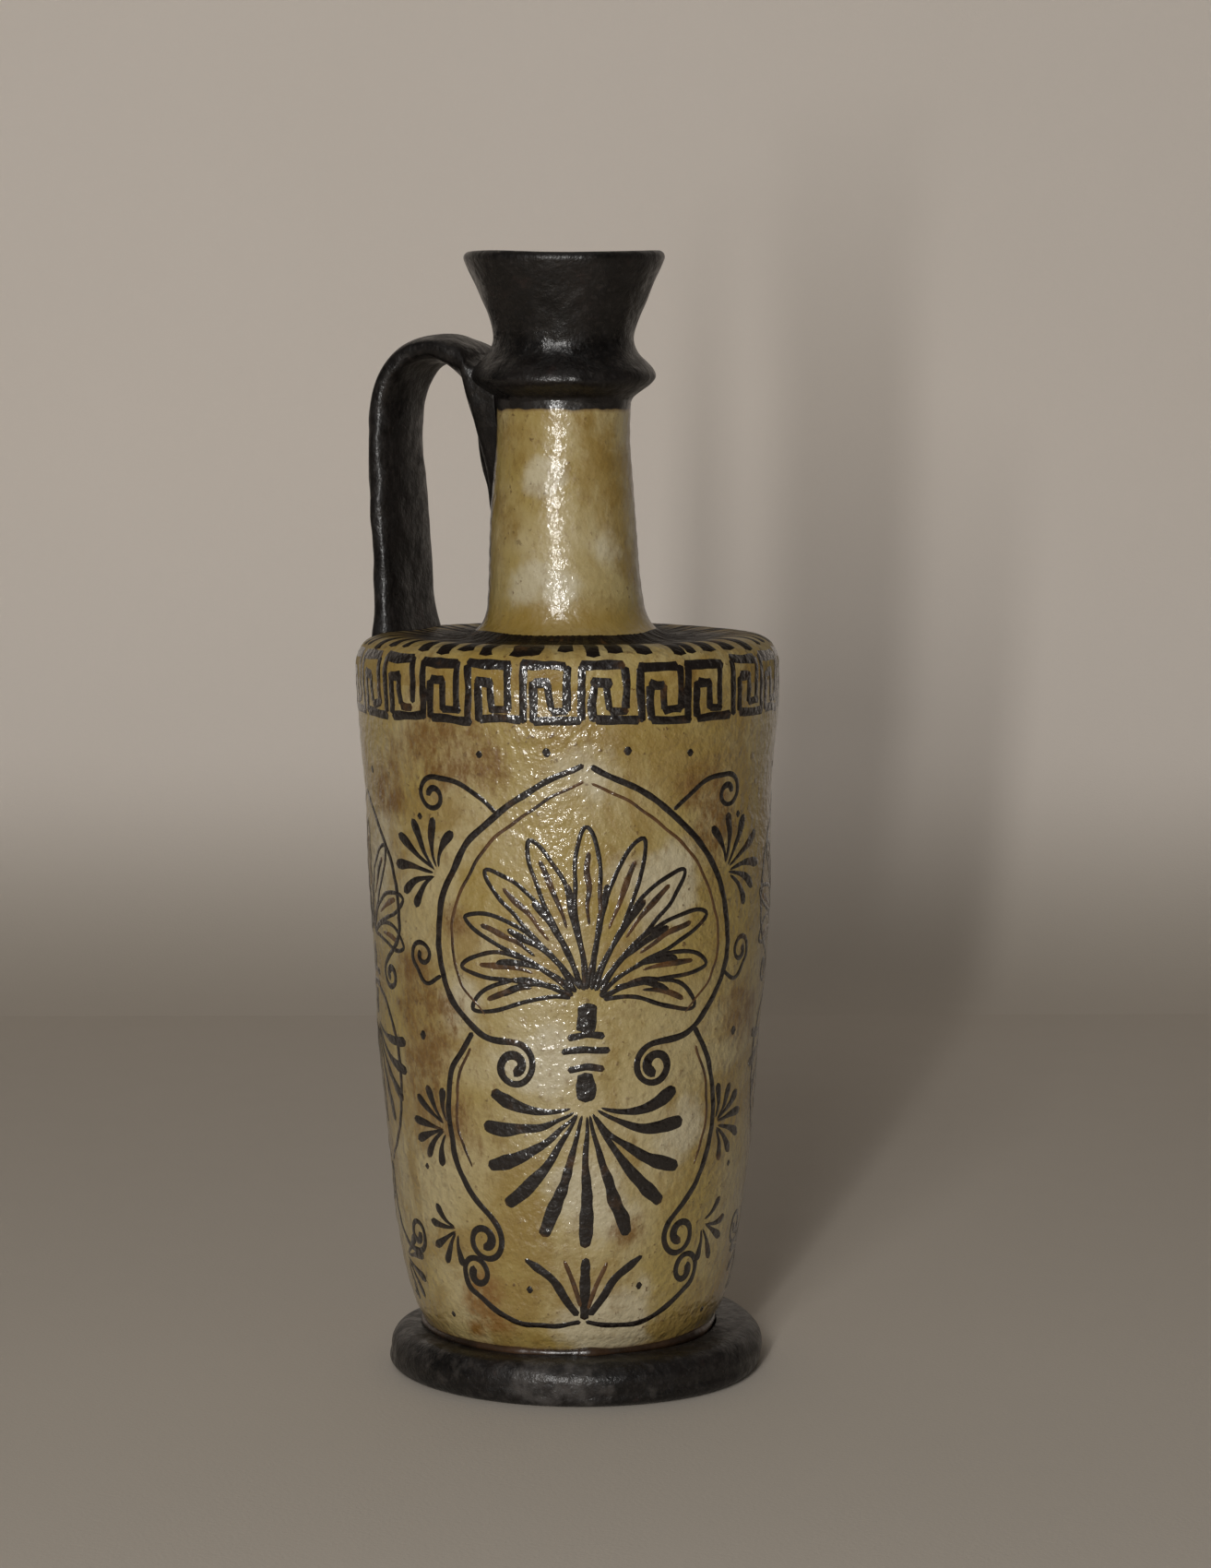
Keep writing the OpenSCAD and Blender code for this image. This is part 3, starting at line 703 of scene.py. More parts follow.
def both(strokes):
    """The strokes and their mirror twins to the left."""
    return strokes + [(path * [-1, 1], *rest) for path, *rest in strokes]

def on_pot(strokes, centre, draw):
    """Lays flat strokes round the pot at a centre angle, each slightly off its place."""
    laid = []
    for path, wide, ends, load in strokes:
        place = path + draw.normal(0, 0.25, 2)
        angle = centre + np.degrees(place[:, 0] / FIELD_RADIUS)
        on_skin = np.stack([angle, run_at_height(place[:, 1])], axis=1)
        laid.append(brush_stroke(on_skin, wide, draw, ends=ends, shake=0.2, load=load))
    return laid

# %% [markdown]
# The large ornament faces the front and, once more, the back. A tall fan stands on a pair of volutes
# and is held by a tie, a second fan hangs below it, and tendrils leave the tie to fill the corners.
# A narrower one stands between them on either side.

# %% The large ornament
def ties(rows, wide, ends):
    """Short level strokes across the stem, each given as half its length and its height."""
    return [(np.array([(-half, v), (0, v + 0.5), (half, v)]), wide, ends, 0.92) for half, v in rows]

def large_ornament():
    """Fans back to back at a tie, a double frame round the upper one, volutes, tendrils and corner fans."""
    s = leaf_fan((0, 106), 0, 11, 82, 47, 6.8, 5.0, hollow=True)
    s += leaf_fan((0, 106), 0, 10, 74, 33, 2.2, 9.0)
    s += leaf_fan((0, 82), 180, 11, 84, 40, 4.3, 4.5)
    frame_outer = [(0.8, 169), (14, 162), (31, 148), (40.5, 129), (39.5, 111), (30, 99), (18, 96)]
    frame_inner = [(1.0, 164.5), (13, 158), (28, 145), (36.5, 128), (35.6, 113), (27.5, 103.5)]
    s += both(free_line(frame_outer, 2.1, (6.0, 1.5, 1)))
    s += both(free_line(frame_inner, 1.0, load=0.45))
    s += both(free_line([(31, 98.5), (38, 88), (40, 74), (36, 58), (26, 47)], 2.0, (6.2, 1.45, 1)))
    s += both(free_line([(32, 94), (36.5, 85), (37.5, 74), (33.5, 62)], 1.0, load=0.45))
    s += both(free_line([(1.2, 21), (11, 19.5), (24, 21), (37, 28)], 1.9, (5.4, 1.4, 1)))
    s += both(free_line([(23, 156.5), (31, 163), (40, 165)], 1.6, (4.8, 1.35, -1)))
    s += both(free_line([(40.5, 113), (46, 110.5), (50.5, 115)], 1.5, (4.2, 1.3, 1)))
    s += both(leaf_fan((39.5, 139), 58, 7, 70, 18, 3.0, 2.6))
    s += both(leaf_fan((40, 72), 84, 7, 66, 15, 2.8, 2.4))
    s += both(leaf_fan((39, 45), 118, 5, 55, 13, 2.6, 2.2))
    s += both(free_line([(1.8, 23), (6, 28), (10.5, 34), (18, 38.5)], 2.6))
    s += both(free_line([(1.2, 25), (3.6, 31), (6.5, 38)], 1.4, load=0.5))
    s += free_line([(0, 22), (0.4, 30), (0, 39.5)], 3.2)
    s += free_line([(0, 99.5), (0.2, 102), (0, 107.5)], 6.2)
    s += free_line([(0, 89), (0.2, 86.5), (0, 81)], 5.6)
    s += ties(((5, 98.3), (6.5, 94.2), (5, 90.1)), 2.0, 0.9)
    s += both(dot((10, 172), 2.6) + dot((17.5, 89.6), 2.4) + dot((48, 96), 2.8) + dot((17, 30), 2.6)
              + dot((47, 20), 2.4))
    s += both(dot((27, 171), 2.2) + dot((46, 154), 2.2) + dot((50, 60), 2.2))
    return s

# %% [markdown]
# The narrow ornament has the same kinds of parts, but fewer and smaller. Then the four ornaments go
# round the pot, each with a seed of its own, so that no two show the same slips of the brush.

# %% The narrow ornament, and both laid round the pot
def narrow_ornament():
    """A smaller pair of fans on a stem, with curls to the sides."""
    s = leaf_fan((0, 117), 0, 7, 78, 33, 6.0, 4.0, hollow=True)
    s += leaf_fan((0, 98), 180, 9, 70, 30, 3.4, 3.6)
    s += both(free_line([(0.8, 158), (10, 152), (20, 138), (20.5, 122), (12, 113)], 1.8, (4.2, 1.35, 1)))
    s += both(free_line([(2, 107), (12, 101), (17.5, 88), (14, 70), (2.5, 58)], 1.8))
    s += both(free_line([(0.6, 57), (3, 46), (10, 37), (18, 36)], 1.8, (4.8, 1.35, 1)))
    s += both(leaf_fan((6, 33), 112, 5, 50, 15, 2.8, 2.4))
    s += free_line([(0, 110.5), (0, 117.5)], 4.6)
    s += free_line([(0, 104.5), (0, 97.5)], 4.2)
    s += ties(((5, 109.4), (5, 105.8)), 1.8, 0.8)
    s += both(dot((9, 164), 2.4) + dot((8, 22), 2.2))
    s += dot((0, 48), 2.8)
    return s

FRONT_FIELD = 5.0
ornaments = {
    "front_palmettes": (large_ornament(), FRONT_FIELD, 61),
    "back_palmettes": (large_ornament(), FRONT_FIELD + 180, 62),
    "right_palmettes": (narrow_ornament(), FRONT_FIELD + 88, 63),
    "left_palmettes": (narrow_ornament(), FRONT_FIELD - 84, 64)}
fields = [paint(name, on_pot(strokes, centre, np.random.default_rng(seed)))
          for name, (strokes, centre, seed) in ornaments.items()]
print("palmettes:", {p.name: len(p.data.polygons) for p in fields})

# %% [markdown]
# ## Building a material
# Every finish here is a small tree of nodes on Object coordinates, which are metres in the pot's own
# frame. The class below keeps the trees short to write: `add` puts in a node and fills or links its
# inputs, and the other calls name the few steps that all the glazes share: patches, specks, spots.

# %% Node helper
SPOT_RAGGED, SPOT_EDGE, SPOT_CORE = 3.6, 1.25, 0.45

def rgb(r, g, b):
    """A colour as a screen shows it, 0 to 255 each, in the linear values that a shader wants."""
    c = np.array([r, g, b]) / 255
    return (*np.where(c < 0.04045, c / 12.92, ((c + 0.055) / 1.055) ** 2.4).tolist(), 1.0)

class Glaze:
    """A material under construction, with its Principled shader and the place of each point."""

    def __init__(self, name):
        self.material = bpy.data.materials.new(name)
        self.material.use_nodes = True
        self.tree = self.material.node_tree
        self.shader = self.tree.nodes["Principled BSDF"]
        self.place = self.add("ShaderNodeTexCoord").outputs["Object"]

    def add(self, kind, inputs=None, **settings):
        """Puts in a node, sets its settings, and fills each input with a value or a link."""
        node = self.tree.nodes.new(kind)
        for key, value in settings.items():
            setattr(node, key, value)
        for key, value in (inputs or {}).items():
            if isinstance(value, bpy.types.NodeSocket):
                self.tree.links.new(value, node.inputs[key])
            else:
                node.inputs[key].default_value = value
        return node

    def noise(self, scale, detail=4.0, rough=0.55, twist=0.0, at=None):
        """Fractal noise of features about 1/scale metres wide, from 0 to 1."""
        inputs = {"Vector": at or self.place, "Scale": scale, "Detail": detail, "Roughness": rough,
                  "Distortion": twist}
        return self.add("ShaderNodeTexNoise", inputs).outputs["Fac"]

    def fade(self, value, low, high, to_low=0.0, to_high=1.0):
        """Smooth step from `low` to `high`."""
        inputs = {"Value": value, "From Min": low, "From Max": high, "To Min": to_low, "To Max": to_high}
        return self.add("ShaderNodeMapRange", inputs, interpolation_type="SMOOTHSTEP").outputs["Result"]

    def calc(self, operation, a, b=0.0):
        """One step of arithmetic."""
        return self.add("ShaderNodeMath", {0: a, 1: b}, operation=operation).outputs[0]

    def times(self, a, b):
        """Product of two values."""
        return self.calc("MULTIPLY", a, b)

    def swing(self, noise, size):
        """Noise moved to lie round zero and scaled: size times (noise less a half)."""
        return self.times(self.calc("SUBTRACT", noise, 0.5), size)

    def squeezed(self, factors):
        """The place with x, y and z multiplied; a factor below 1 stretches a noise that way."""
        return self.add("ShaderNodeVectorMath", {0: self.place, 1: factors}, operation="MULTIPLY").outputs[0]

    def part(self, axis, vector=None):
        """One coordinate of a vector, or of the place."""
        return self.add("ShaderNodeSeparateXYZ", {0: vector or self.place}).outputs[axis]

    def mix(self, share, a, b):
        """Colour a, going over to b as the share goes from 0 to 1."""
        return self.add("ShaderNodeMix", {0: share, 6: a, 7: b}, data_type="RGBA").outputs[2]

    def spots(self, places, ragged):
        """Soft blots round places on the pot, each (x, y, z, radius) in metres.

        The distance to the place, moved in and out by noise, fades from 1 at the core to 0 at the edge.
        """
        total = 0.0
        for x, y, z, size in places:
            ends = {0: self.place, 1: (x, y, z)}
            away = self.add("ShaderNodeVectorMath", ends, operation="DISTANCE").outputs["Value"]
            uneven = self.calc("ADD", away, self.swing(ragged, -SPOT_RAGGED * size))
            total = self.calc("MAXIMUM", total, self.fade(uneven, SPOT_EDGE * size, SPOT_CORE * size))
        return total

    def bump(self, *layers):
        """Relief from pairs of a 0 to 1 height and its depth in metres, one on top of the other."""
        normal = None
        for height, depth in layers:
            inputs = {"Height": height, "Distance": depth, "Strength": 1.0}
            if normal:
                inputs["Normal"] = normal
            normal = self.add("ShaderNodeBump", inputs).outputs["Normal"]
        return normal

    def finish(self, colour, roughness, normal, coat=0.0, coat_roughness=0.1, specular=0.5):
        """Links colour, roughness and relief to the shader; coat and specular are one value all over."""
        for key, value in (("Base Color", colour), ("Roughness", roughness), ("Normal", normal)):
            self.tree.links.new(value, self.shader.inputs[key])
        if coat:
            self.tree.links.new(normal, self.shader.inputs["Coat Normal"])
        self.shader.inputs["Coat Weight"].default_value = coat
        self.shader.inputs["Coat Roughness"].default_value = coat_roughness
        self.shader.inputs["Specular IOR Level"].default_value = specular
        print(self.material.name, "has", len(self.tree.nodes), "nodes")
        return self.material

# %% [markdown]
# ## Cream glaze
# The ground is a pale slip under a clear, slightly yellow glaze. On the real pot it is anything but
# one colour: whitish where the glaze is thin, yellow-ochre where it pooled, and brown where iron bled
# through. Large soft noise lays the patches, listed blots put the strongest stains where they are
# seen, and fine noise adds the specks. The relief is an orange-peel bump, which breaks the highlight.

# %% Places of the stains
def spots_on_wall(*spots):
    """Places on the painted wall, given as angle, height and radius, as x, y, z and a radius in metres."""
    points = [skin_at(np.array(float(angle)), run_at_height(np.array(float(z)))) for angle, z, _ in spots]
    return [(*(point * MM).tolist(), size * MM) for point, (_, _, size) in zip(points, spots)]

def spots_round_axis(reach, *spots):
    """The same at a given distance from the axis: the turn's cosine and sine times that distance."""
    return [(*(reach * MM * rays(angle)).tolist(), z * MM, size * MM) for angle, z, size in spots]

BROWN_STAINS = spots_on_wall(
    (-44, 100, 12), (-47, 86, 11), (-42, 74, 11), (-51, 112, 8), (-39, 172, 12), (-26, 170, 9),
    (-58, 160, 8), (46, 152, 11), (38, 162, 8), (-33, 128, 6), (60, 100, 8), (18, 46, 5),
    (150, 110, 16), (215, 60, 13))
# pale patches where the glaze is thin; the last one, high in front just under the key band, is also a painted
# highlight
PALE_PATCHES_AND_HIGHLIGHT = spots_on_wall(
    (25, 135, 12), (-31, 108, 8), (6, 55, 12), (38, 72, 9), (-6, 90, 11), (-64, 140, 11),
    (12, 21, 12), (110, 80, 16), (190, 150, 18), (6, 168, 11))
POOLED = spots_on_wall((-4, 144, 12), (-18, 136, 11), (11, 134, 9))
RUST = spots_on_wall((-32, 26, 8), (-28, 20, 6), (-36, 17, 5))
SHOULDER_STAINS = spots_on_wall(*((angle, 187, 9) for angle in (-40, -15, 35, 60, 130, 200)))
NECK_REACH = 19
NECK_OCHRE = spots_round_axis(NECK_REACH, (-48, 250, 6), (-50, 228, 5), (38, 249, 7), (45, 236, 4),
                              (16, 256, 4), (-20, 204, 6), (15, 203, 6), (120, 230, 9))
NECK_WHITE = spots_round_axis(NECK_REACH, (-14, 242, 6), (-30, 214, 8), (-8, 212, 7), (28, 222, 7),
                              (170, 225, 9))
print("stains on the wall:", len(BROWN_STAINS), "brown,", len(PALE_PATCHES_AND_HIGHLIGHT), "white")

# %% [markdown]
# The ground is mixed in layers, each a share of one more colour: patches first, then ochre, pale
# patches, stains, mottle, dust and specks. Wall, shoulder and neck start from the same layers, and
# each adds its own.

# %% Cream glaze on the wall
CREAM, YELLOWED = rgb(170, 155, 115), rgb(151, 131, 74)
OCHRE, CHALK_AND_HIGHLIGHT = rgb(134, 109, 52), rgb(184, 174, 147)
MOTTLE, DUST, SPECK = rgb(112, 86, 41), rgb(108, 80, 40), rgb(84, 58, 28)

def cream_glaze(name, stains, pale_and_highlight_places, stain_share=0.95, stain_tint=rgb(108, 76, 32)):
    """The cream ground with its patches and stains; returns the glaze and its colour for more painting."""
    g = Glaze(name)
    patches = g.noise(19, 3, 0.5, 0.4)
    mottle = g.noise(150, 7, 0.68)
    drawn = g.squeezed((1, 1, 0.45))
    dust = g.noise(620, 5, 0.72, at=drawn)
    colour = g.mix(g.fade(patches, 0.38, 0.62), CREAM, YELLOWED)
    ochre = g.fade(g.noise(36, 7, 0.66, 0.8), 0.43, 0.61)
    colour = g.mix(g.times(ochre, 0.75), colour, OCHRE)
    # pale patches; on the wall one of them is also a painted highlight
    colour = g.mix(g.times(g.spots(pale_and_highlight_places, g.noise(45, 5, 0.6)), 0.75), colour, CHALK_AND_HIGHLIGHT)
    blots = g.spots(stains, g.noise(70, 8, 0.7, 0.4, at=drawn))
    grainy = g.fade(g.calc("ADD", mottle, dust), 0.80, 1.16, 0.35, 1.0)
    colour = g.mix(g.times(g.times(blots, grainy), stain_share), colour, stain_tint)
    colour = g.mix(g.fade(mottle, 0.50, 0.72, 0.0, 0.42), colour, MOTTLE)
    colour = g.mix(g.fade(dust, 0.53, 0.70, 0.0, 0.42), colour, DUST)
    specks = g.fade(g.noise(480, 3, 0.6), 0.64, 0.70)
    colour = g.mix(g.times(specks, g.fade(patches, 0.35, 0.7, 0.35, 0.9)), colour, SPECK)
    return g, colour

def close_cream(g, colour, coat=0.85, specular=0.5, peel=0.0006):
    """Roughness and relief that all the cream pieces share."""
    normal = g.bump((g.noise(75, 2, 0.5), 0.0008), (g.noise(480, 2, 0.5), peel),
                    (g.noise(1400, 3, 0.6), 0.00005))
    roughness = g.fade(g.noise(180, 4), 0.35, 0.65, 0.36, 0.52)
    return g.finish(colour, roughness, normal, coat, 0.08, specular)

def wall_finish():
    """Cream with yellow pooled high in front, rusty spots low on the left, and darker just above the foot."""
    g, colour = cream_glaze("cream_wall", BROWN_STAINS, PALE_PATCHES_AND_HIGHLIGHT)
    colour = g.mix(g.times(g.spots(POOLED, g.noise(32, 5, 0.6)), 0.6), colour, rgb(146, 124, 58))
    rust = g.spots(RUST, g.noise(40, 6, 0.6))
    rust = g.times(rust, g.fade(g.noise(420, 5, 0.7), 0.34, 0.56, 0.45, 0.95))
    colour = g.mix(rust, colour, rgb(120, 84, 34))
    # darker in the last two millimetres of wall above the coil
    darker_at_foot = g.times(g.fade(g.part("Z"), (FOOT_TOP + 2.6) * MM, (FOOT_TOP + 0.8) * MM), 0.8)
    return close_cream(g, g.mix(darker_at_foot, colour, rgb(84, 58, 32)))

WALL_MATERIAL = wall_finish()

# %% [markdown]
# On the shoulder a thin wash of the black runs out from the neck in streaks. Their noise reads only
# the direction from the axis, so it is the same all along a ray, and it moves the wash's edge in and
# out. The neck is cream below a brushed edge and black above it, and black behind, by the handle.

# %% Shoulder and neck
def from_axis(g):
    """Distance from the axis, and a direction vector that is the same along each ray."""
    flat = g.squeezed((1, 1, 0))
    return (g.add("ShaderNodeVectorMath", {0: flat}, operation="LENGTH").outputs["Value"],
            g.add("ShaderNodeVectorMath", {0: flat}, operation="NORMALIZE").outputs[0])

def shoulder_finish():
    """Cream with a streaky dark wash that fades out from the neck."""
    g, colour = cream_glaze("cream_shoulder", SHOULDER_STAINS, [], 0.5)
    away, ray = from_axis(g)
    edge = g.calc("ADD", away, g.swing(g.noise(26, 3, 0.6, at=ray), 0.030))
    colour = g.mix(g.fade(edge, 0.054, 0.044, 0.0, 0.5), colour, rgb(96, 70, 36))
    colour = g.mix(g.fade(edge, 0.046, 0.040, 0.0, 0.97), colour, rgb(18, 12, 8))
    return close_cream(g, colour, 0.05, 0.12)

BORDER = (NECK_TOP - 9.1) * MM

def neck_finish():
    """Cream below, black above a brushed edge and behind, and dark at a foot set low in the shoulder."""
    g, colour = cream_glaze("cream_neck", NECK_OCHRE, NECK_WHITE, 0.8, rgb(134, 109, 54))
    level = g.calc("ADD", g.part("Z"), g.swing(g.noise(110, 2), 0.0028))
    behind = g.times(g.part("X", from_axis(g)[1]), -1.0)
    behind = g.calc("ADD", behind, g.swing(g.noise(120, 3), 0.10))
    foot = g.fade(level, (LANDING_Z - 1.6) * MM, (LANDING_Z - 2.1) * MM)
    yellow = g.fade(level, (LANDING_Z + 10) * MM, (LANDING_Z + 2) * MM, 0.0, 0.7)
    colour = g.mix(yellow, colour, rgb(138, 112, 48))
    black = g.calc("MAXIMUM", g.fade(level, BORDER - 0.0002, BORDER + 0.0002), g.fade(behind, 0.77, 0.80))
    brown = g.calc("MAXIMUM", g.fade(level, BORDER - 0.0010, BORDER), g.fade(behind, 0.74, 0.79))
    colour = g.mix(g.times(brown, 0.6), colour, rgb(84, 56, 30))
    colour = g.mix(g.calc("MAXIMUM", black, g.times(foot, 0.9)), colour, rgb(24, 20, 17))
    return close_cream(g, colour, 0.6, 0.5, 0.0003)

SHOULDER_MATERIAL = shoulder_finish()
NECK_MATERIAL = neck_finish()

# %% [markdown]
# ## Black glaze
# Collar, cup, handle and foot wear the same thick black, brushed on in several coats. It is never pure
# black: it goes brown where it is thin and grey where the surface is dull. The brush left long fine
# ridges, the fingers left soft dents, and on the foot small pits show where bubbles burst. The foot is
# duller and greyer than the cup, so the function takes the share of grey. It is grey in three places:
# two on the front of its side are a painted sheen where the light falls, and the one on its top is worn.

# %% Black glaze
BLACK, SOFT_BLACK = rgb(12, 10, 9), rgb(24, 20, 18)
DULL_GREY, THIN_BROWN = rgb(84, 78, 73), rgb(52, 36, 32)
GRAIN_GREY, RUBBED_AND_SHEEN_GREY = rgb(62, 56, 53), rgb(78, 74, 71)
# grey places on the foot: the two on the front of its side are a painted sheen where the light falls, the
# third, on its top, is wear
WORN_AND_SHEEN_PLACES = spots_round_axis(50, (-8, 6, 8), (3, 7, 7)) + spots_round_axis(44, (-58, 11.5, 4))

def black_glaze(name, grey, rough, pits=0.0, stretch=(1, 1, 0.35), worn_and_sheen=()):
    """Black with thin brown, dull grey streaks, grey places of wear and painted sheen, soft dents and pits.
    """
    g = Glaze(name)
    brushed = g.squeezed(stretch)
    streaks = g.noise(300, 3, 0.55, at=brushed)
    clouds = g.noise(48, 4, 0.6)
    colour = g.mix(g.fade(clouds, 0.35, 0.7), BLACK, SOFT_BLACK)
    colour = g.mix(g.times(g.fade(streaks, 0.50, 0.74), grey), colour, DULL_GREY)
    colour = g.mix(g.times(g.fade(g.noise(95, 5, 0.65), 0.60, 0.74), 0.55), colour, THIN_BROWN)
    colour = g.mix(g.fade(g.noise(900, 4, 0.7, at=brushed), 0.50, 0.72, 0.0, 0.30), colour, GRAIN_GREY)
    if worn_and_sheen:
        # grey at the given places: painted sheen on the foot's front side, wear on its top
        rubbed_and_sheen = g.times(g.spots(worn_and_sheen, g.noise(120, 5, 0.65)), g.fade(streaks, 0.36, 0.60, 0.2, 0.6))
        colour = g.mix(rubbed_and_sheen, colour, RUBBED_AND_SHEEN_GREY)
    layers = [(g.noise(60, 2, 0.5), 0.0016), (g.noise(240, 4, 0.6), 0.0004), (g.noise(560, 3, 0.6), 0.00028)]
    if pits:
        layers.append((g.fade(g.noise(430, 2, 0.5), 0.28, 0.40), pits))
    dull = g.fade(g.noise(310, 4, 0.65), 0.4, 0.66, 0.0, 0.2)
    shine = g.calc("ADD", g.fade(clouds, 0.3, 0.7, rough - 0.07, rough + 0.08), dull)
    return g.finish(colour, shine, g.bump(*layers), 0.20, 0.2, 0.30)

CUP_MATERIAL = black_glaze("black_cup", 0.06, 0.32, stretch=(0.6, 0.6, 1))
HANDLE_MATERIAL = black_glaze("black_handle", 0.12, 0.36)
FOOT_MATERIAL = black_glaze("black_foot", 0.26, 0.38, 0.00006, (1, 1, 1), WORN_AND_SHEEN_PLACES)

# %% [markdown]
# ## Coil and brush paint
# The coil is a glossy dark red-brown. The brush paint reads how thickly it lies from the attribute
# `ink`, so one material does for every stroke. The tongues have a copy of it without the glossy coat,
# because the wash under them is dull.

# %% Coil and paint
def coil_finish():
    """Glossy dark red-brown where the glazes ran together."""
    g = Glaze("brown_coil")
    colour = g.mix(g.fade(g.noise(90, 4), 0.35, 0.68), rgb(32, 22, 15), rgb(64, 45, 30))
    roughness = g.fade(g.noise(200, 3), 0.3, 0.7, 0.26, 0.42)
    return g.finish(colour, roughness, g.bump((g.noise(160, 3), 0.0006)), 0.15, 0.15)

def ink_finish(name, coat, specular):
    """Brush paint: brown where the attribute ink is low, black where it is high, under a clear coat."""
    g = Glaze(name)
    ink = g.add("ShaderNodeAttribute", attribute_name="ink").outputs["Fac"]
    load = g.calc("ADD", ink, g.swing(g.noise(300, 4, 0.6), 0.9))
    colour = g.mix(g.fade(load, 0.25, 0.80), rgb(86, 58, 30), rgb(21, 14, 10))
    peel = g.bump((g.noise(480, 2, 0.5), 0.0006))
    roughness = g.fade(g.noise(180, 4), 0.35, 0.65, 0.40, 0.55)
    return g.finish(colour, roughness, peel, coat, 0.1, specular)

COIL_MATERIAL = coil_finish()
INK_MATERIAL = ink_finish("brush_paint", 1.0, 0.3)
DULL_INK_MATERIAL = ink_finish("dull_brush_paint", 0.0, 0.1)

# %% [markdown]
# ## Putting it together
# Each new piece takes its material, rides on the pot's only body and replaces its CAD node. The
# strokes replace nothing, because the CAD model leaves paint out.

# %% Finish each piece
clay = {
    body: ("body", WALL_MATERIAL, "cream_glaze"), shoulder: ("shoulder", SHOULDER_MATERIAL, "cream_glaze"),
    neck: ("neck", NECK_MATERIAL, "cream_glaze"), collar: ("collar", CUP_MATERIAL, "black_glaze"),
    cup: ("mouth", CUP_MATERIAL, "black_glaze"), handle: ("handle", HANDLE_MATERIAL, "black_glaze"),
    foot: ("foot", FOOT_MATERIAL, "black_glaze"), coil: ("foot_bead", COIL_MATERIAL, "bead_glaze")}
for piece, (node, material, slot) in clay.items():
    piece.data.materials.append(material)
    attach(piece, "root")
    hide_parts(node)
for piece in (key_band, tongues, *fields):
    piece.data.materials.append(DULL_INK_MATERIAL if piece is tongues else INK_MATERIAL)
    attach(piece, "root")
print("pieces:", len(clay) + 2 + len(fields))

# %% [markdown]
# ## The room
# A pale floor runs up into a pale backdrop in one sweep; the floor is a little darker, as painted shade.
# Only its front side is seen: the back of the sheet is see-through, so that from behind one looks through it.

# %% Sweep
FLOOR_END, BEND, REACH = 0.55, 0.25, 3.0

def sweep():
    """Floor and backdrop: a profile of floor, quarter circle and wall, drawn out sideways."""
    arc = np.radians(np.linspace(0, 90, 12))
    bend = zip(FLOOR_END + BEND * np.sin(arc), BEND - BEND * np.cos(arc))
    profile = np.array([(-REACH, 0.0), (FLOOR_END, 0.0), *bend, (FLOOR_END + BEND, REACH)])
    across = np.array([-REACH, REACH])[None, :, None] * PHOTO_RIGHT
    away = profile[:, None, :1] * np.array([-PHOTO_RIGHT[1], PHOTO_RIGHT[0]])
    height = np.broadcast_to(profile[:, None, 1:], (len(profile), 2, 1))
    points = np.concatenate([across + away, height], axis=2) / MM
    i = np.arange(len(profile) - 1)
    faces = np.stack([2 * i, 2 * i + 1, 2 * i + 3, 2 * i + 2], axis=1)
    return write_mesh("studio_sweep", points.reshape(-1, 3), faces.tolist())

studio = sweep()
studio.data.flip_normals()
print("floor normal:", tuple(round(c) for c in studio.data.polygons[0].normal))

# %% [markdown]
# The paper is nearly one pale colour, with painted shade that makes it darker towards the floor. A
# transparent shader takes over wherever a face is seen from its back.

# %% Paper
paper = Glaze("paper_sweep")
paper_colour = paper.mix(paper.noise(6, 2), rgb(243, 233, 222), rgb(247, 237, 227))
# painted shade: the floor is darker than the backdrop, for the less light that reaches it
paper_colour = paper.mix(paper.fade(paper.part("Z"), 0.10, 0.0), paper_colour, rgb(191, 182, 170))
paper_rough = paper.fade(paper.noise(40), 0.3, 0.7, 0.85, 0.95)
studio.data.materials.append(paper.finish(paper_colour, paper_rough, paper.bump((paper.noise(900), 0.0001))))
facing_away = paper.add("ShaderNodeNewGeometry").outputs["Backfacing"]
clear = paper.add("ShaderNodeBsdfTransparent").outputs[0]
sheet = paper.add("ShaderNodeMixShader", {0: facing_away, 1: paper.shader.outputs[0], 2: clear}).outputs[0]
paper.tree.links.new(sheet, paper.tree.nodes["Material Output"].inputs["Surface"])

# %% [markdown]
# ## Light
# The main lamp is a soft box in front, a little to the left and above, which throws a soft shadow. A
# tall narrow lamp beside it draws the long highlights down wall and neck, and one overhead lights the
# shoulder's top. A large weak fill keeps the left side readable, and the world adds very little.

# %% Lamps and world
AIM = np.array([0, 0, 0.16])
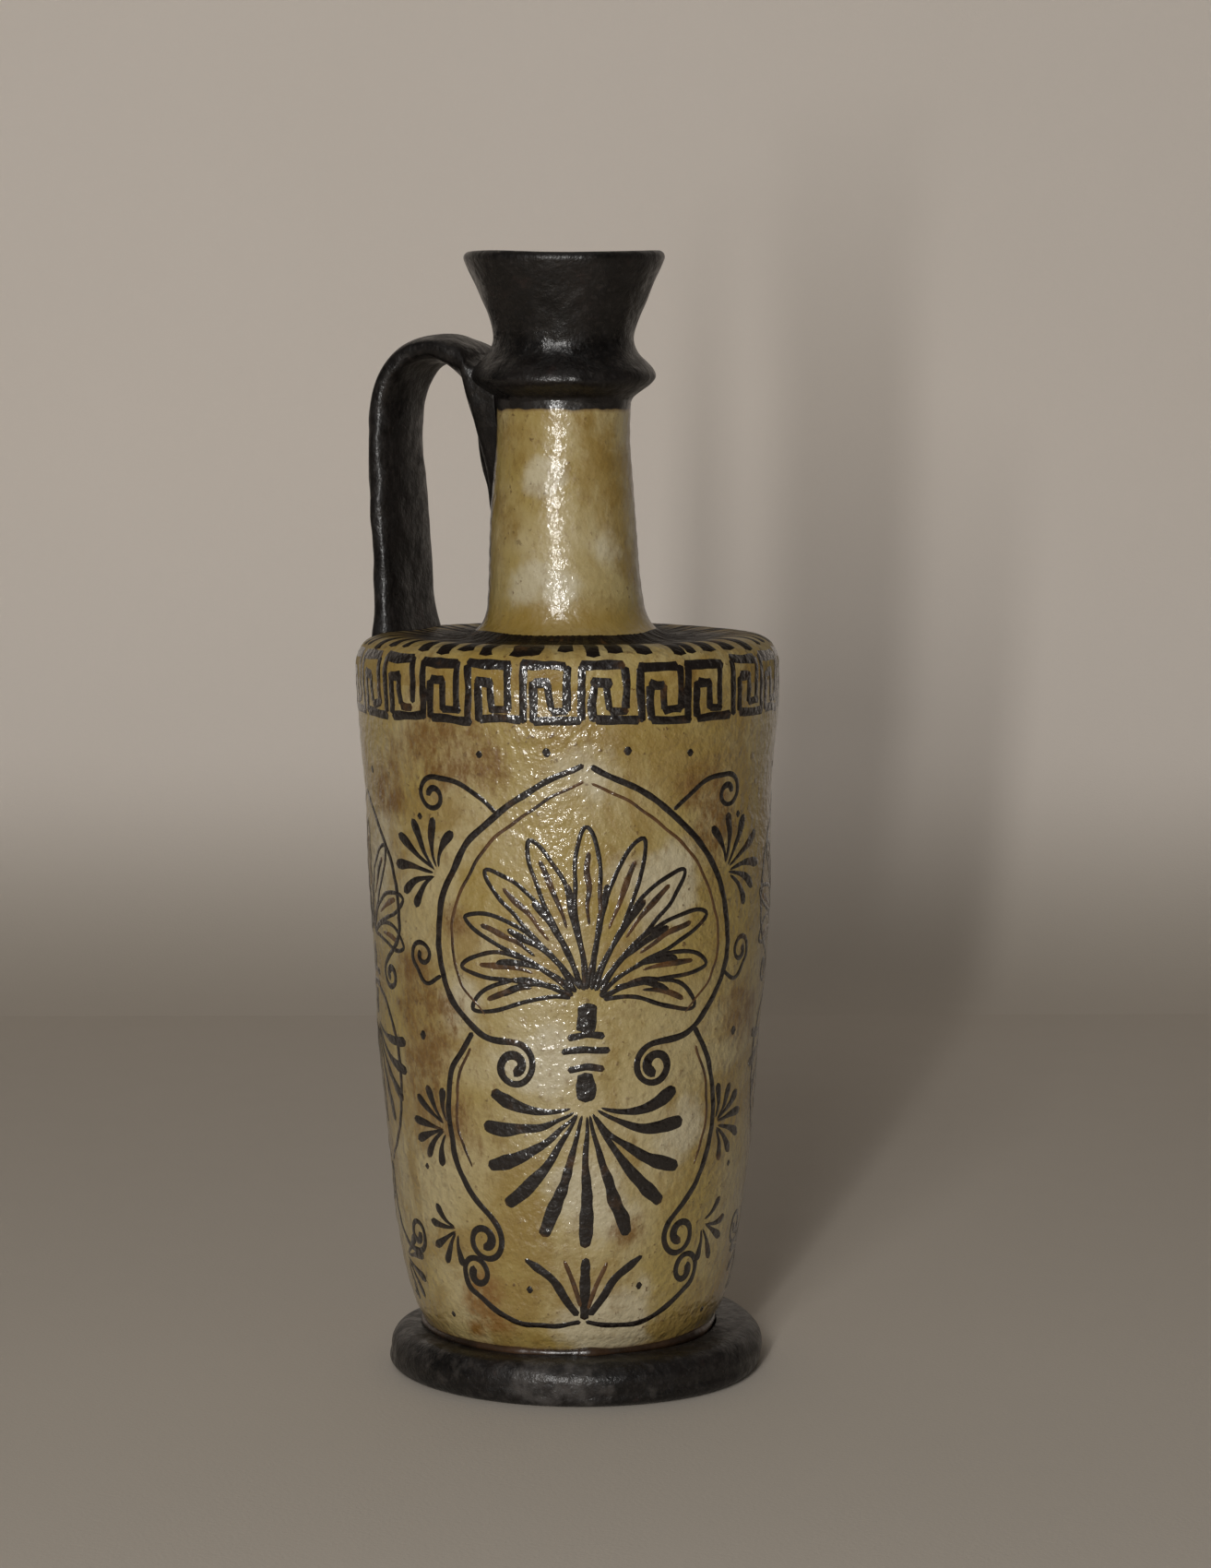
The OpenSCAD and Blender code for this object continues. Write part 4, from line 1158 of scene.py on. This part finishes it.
# degrees from the camera and above level, metres away, width and height, watts, colour
LAMPS = {
    "key_lamp": (-11, 24, 1.5, (0.35, 0.45), 6.6, (1.0, 0.98, 0.95)),
    "strip_lamp": (-10, 8, 1.55, (0.045, 0.6), 10.8, (1.0, 0.985, 0.96)),
    "fill_lamp": (-75, 20, 2.2, (1.4, 1.4), 0.08, (0.97, 0.98, 1.0)),
    "top_lamp": (10, 80, 1.8, (1.2, 1.2), 1.5, (1.0, 0.985, 0.96))}

def soft_lamp(name, azimuth, elevation, distance, size, watts, tint):
    """An area lamp on a sphere round the pot, turned to look at the aim point."""
    a, e = math.radians(VIEW_AZIMUTH + azimuth), math.radians(elevation)
    lamp = bpy.data.objects.new(name, bpy.data.lights.new(name, "AREA"))
    lamp.data.shape = "RECTANGLE"
    lamp.data.size, lamp.data.size_y = size
    lamp.data.energy = watts
    lamp.data.color = tint
    direction = np.array([math.cos(e) * math.sin(a), -math.cos(e) * math.cos(a), math.sin(e)])
    lamp.location = AIM + direction * distance
    lamp.rotation_euler = (math.radians(90) - e, 0, a)
    bpy.context.scene.collection.objects.link(lamp)

for lamp_name, settings in LAMPS.items():
    soft_lamp(lamp_name, *settings)
world = bpy.data.worlds.new("room")
world.use_nodes = True
world.node_tree.nodes["Background"].inputs["Color"].default_value = (0.80, 0.79, 0.77, 1)
world.node_tree.nodes["Background"].inputs["Strength"].default_value = 0.04
bpy.context.scene.world = world
bpy.context.scene.view_settings.view_transform = "Standard"
print("lamps:", len(LAMPS))

# %% [markdown]
# ## Camera
# The camera stands just under a metre away, a little below the collar, and looks down by about six
# degrees and slightly to the side. Its long lens fills the frame with the pot.

# %% Camera
DISTANCE, EYE_HEIGHT = 0.947, 0.259
LOOK_DOWN, LOOK_RIGHT = 6.07, 0.614
FOCAL, SENSOR = 81.04, 36
camera = bpy.data.objects.new("camera", bpy.data.cameras.new("camera"))
camera.data.sensor_fit = "AUTO"
camera.data.sensor_height = SENSOR
camera.data.sensor_width = SENSOR
camera.data.lens = FOCAL
azimuth = math.radians(VIEW_AZIMUTH)
camera.location = (DISTANCE * math.sin(azimuth), -DISTANCE * math.cos(azimuth), EYE_HEIGHT)
camera.rotation_euler = (math.radians(90 - LOOK_DOWN), 0, math.radians(VIEW_AZIMUTH - LOOK_RIGHT))
bpy.context.scene.collection.objects.link(camera)
bpy.context.scene.camera = camera
print("camera at", tuple(round(c, 3) for c in camera.location))
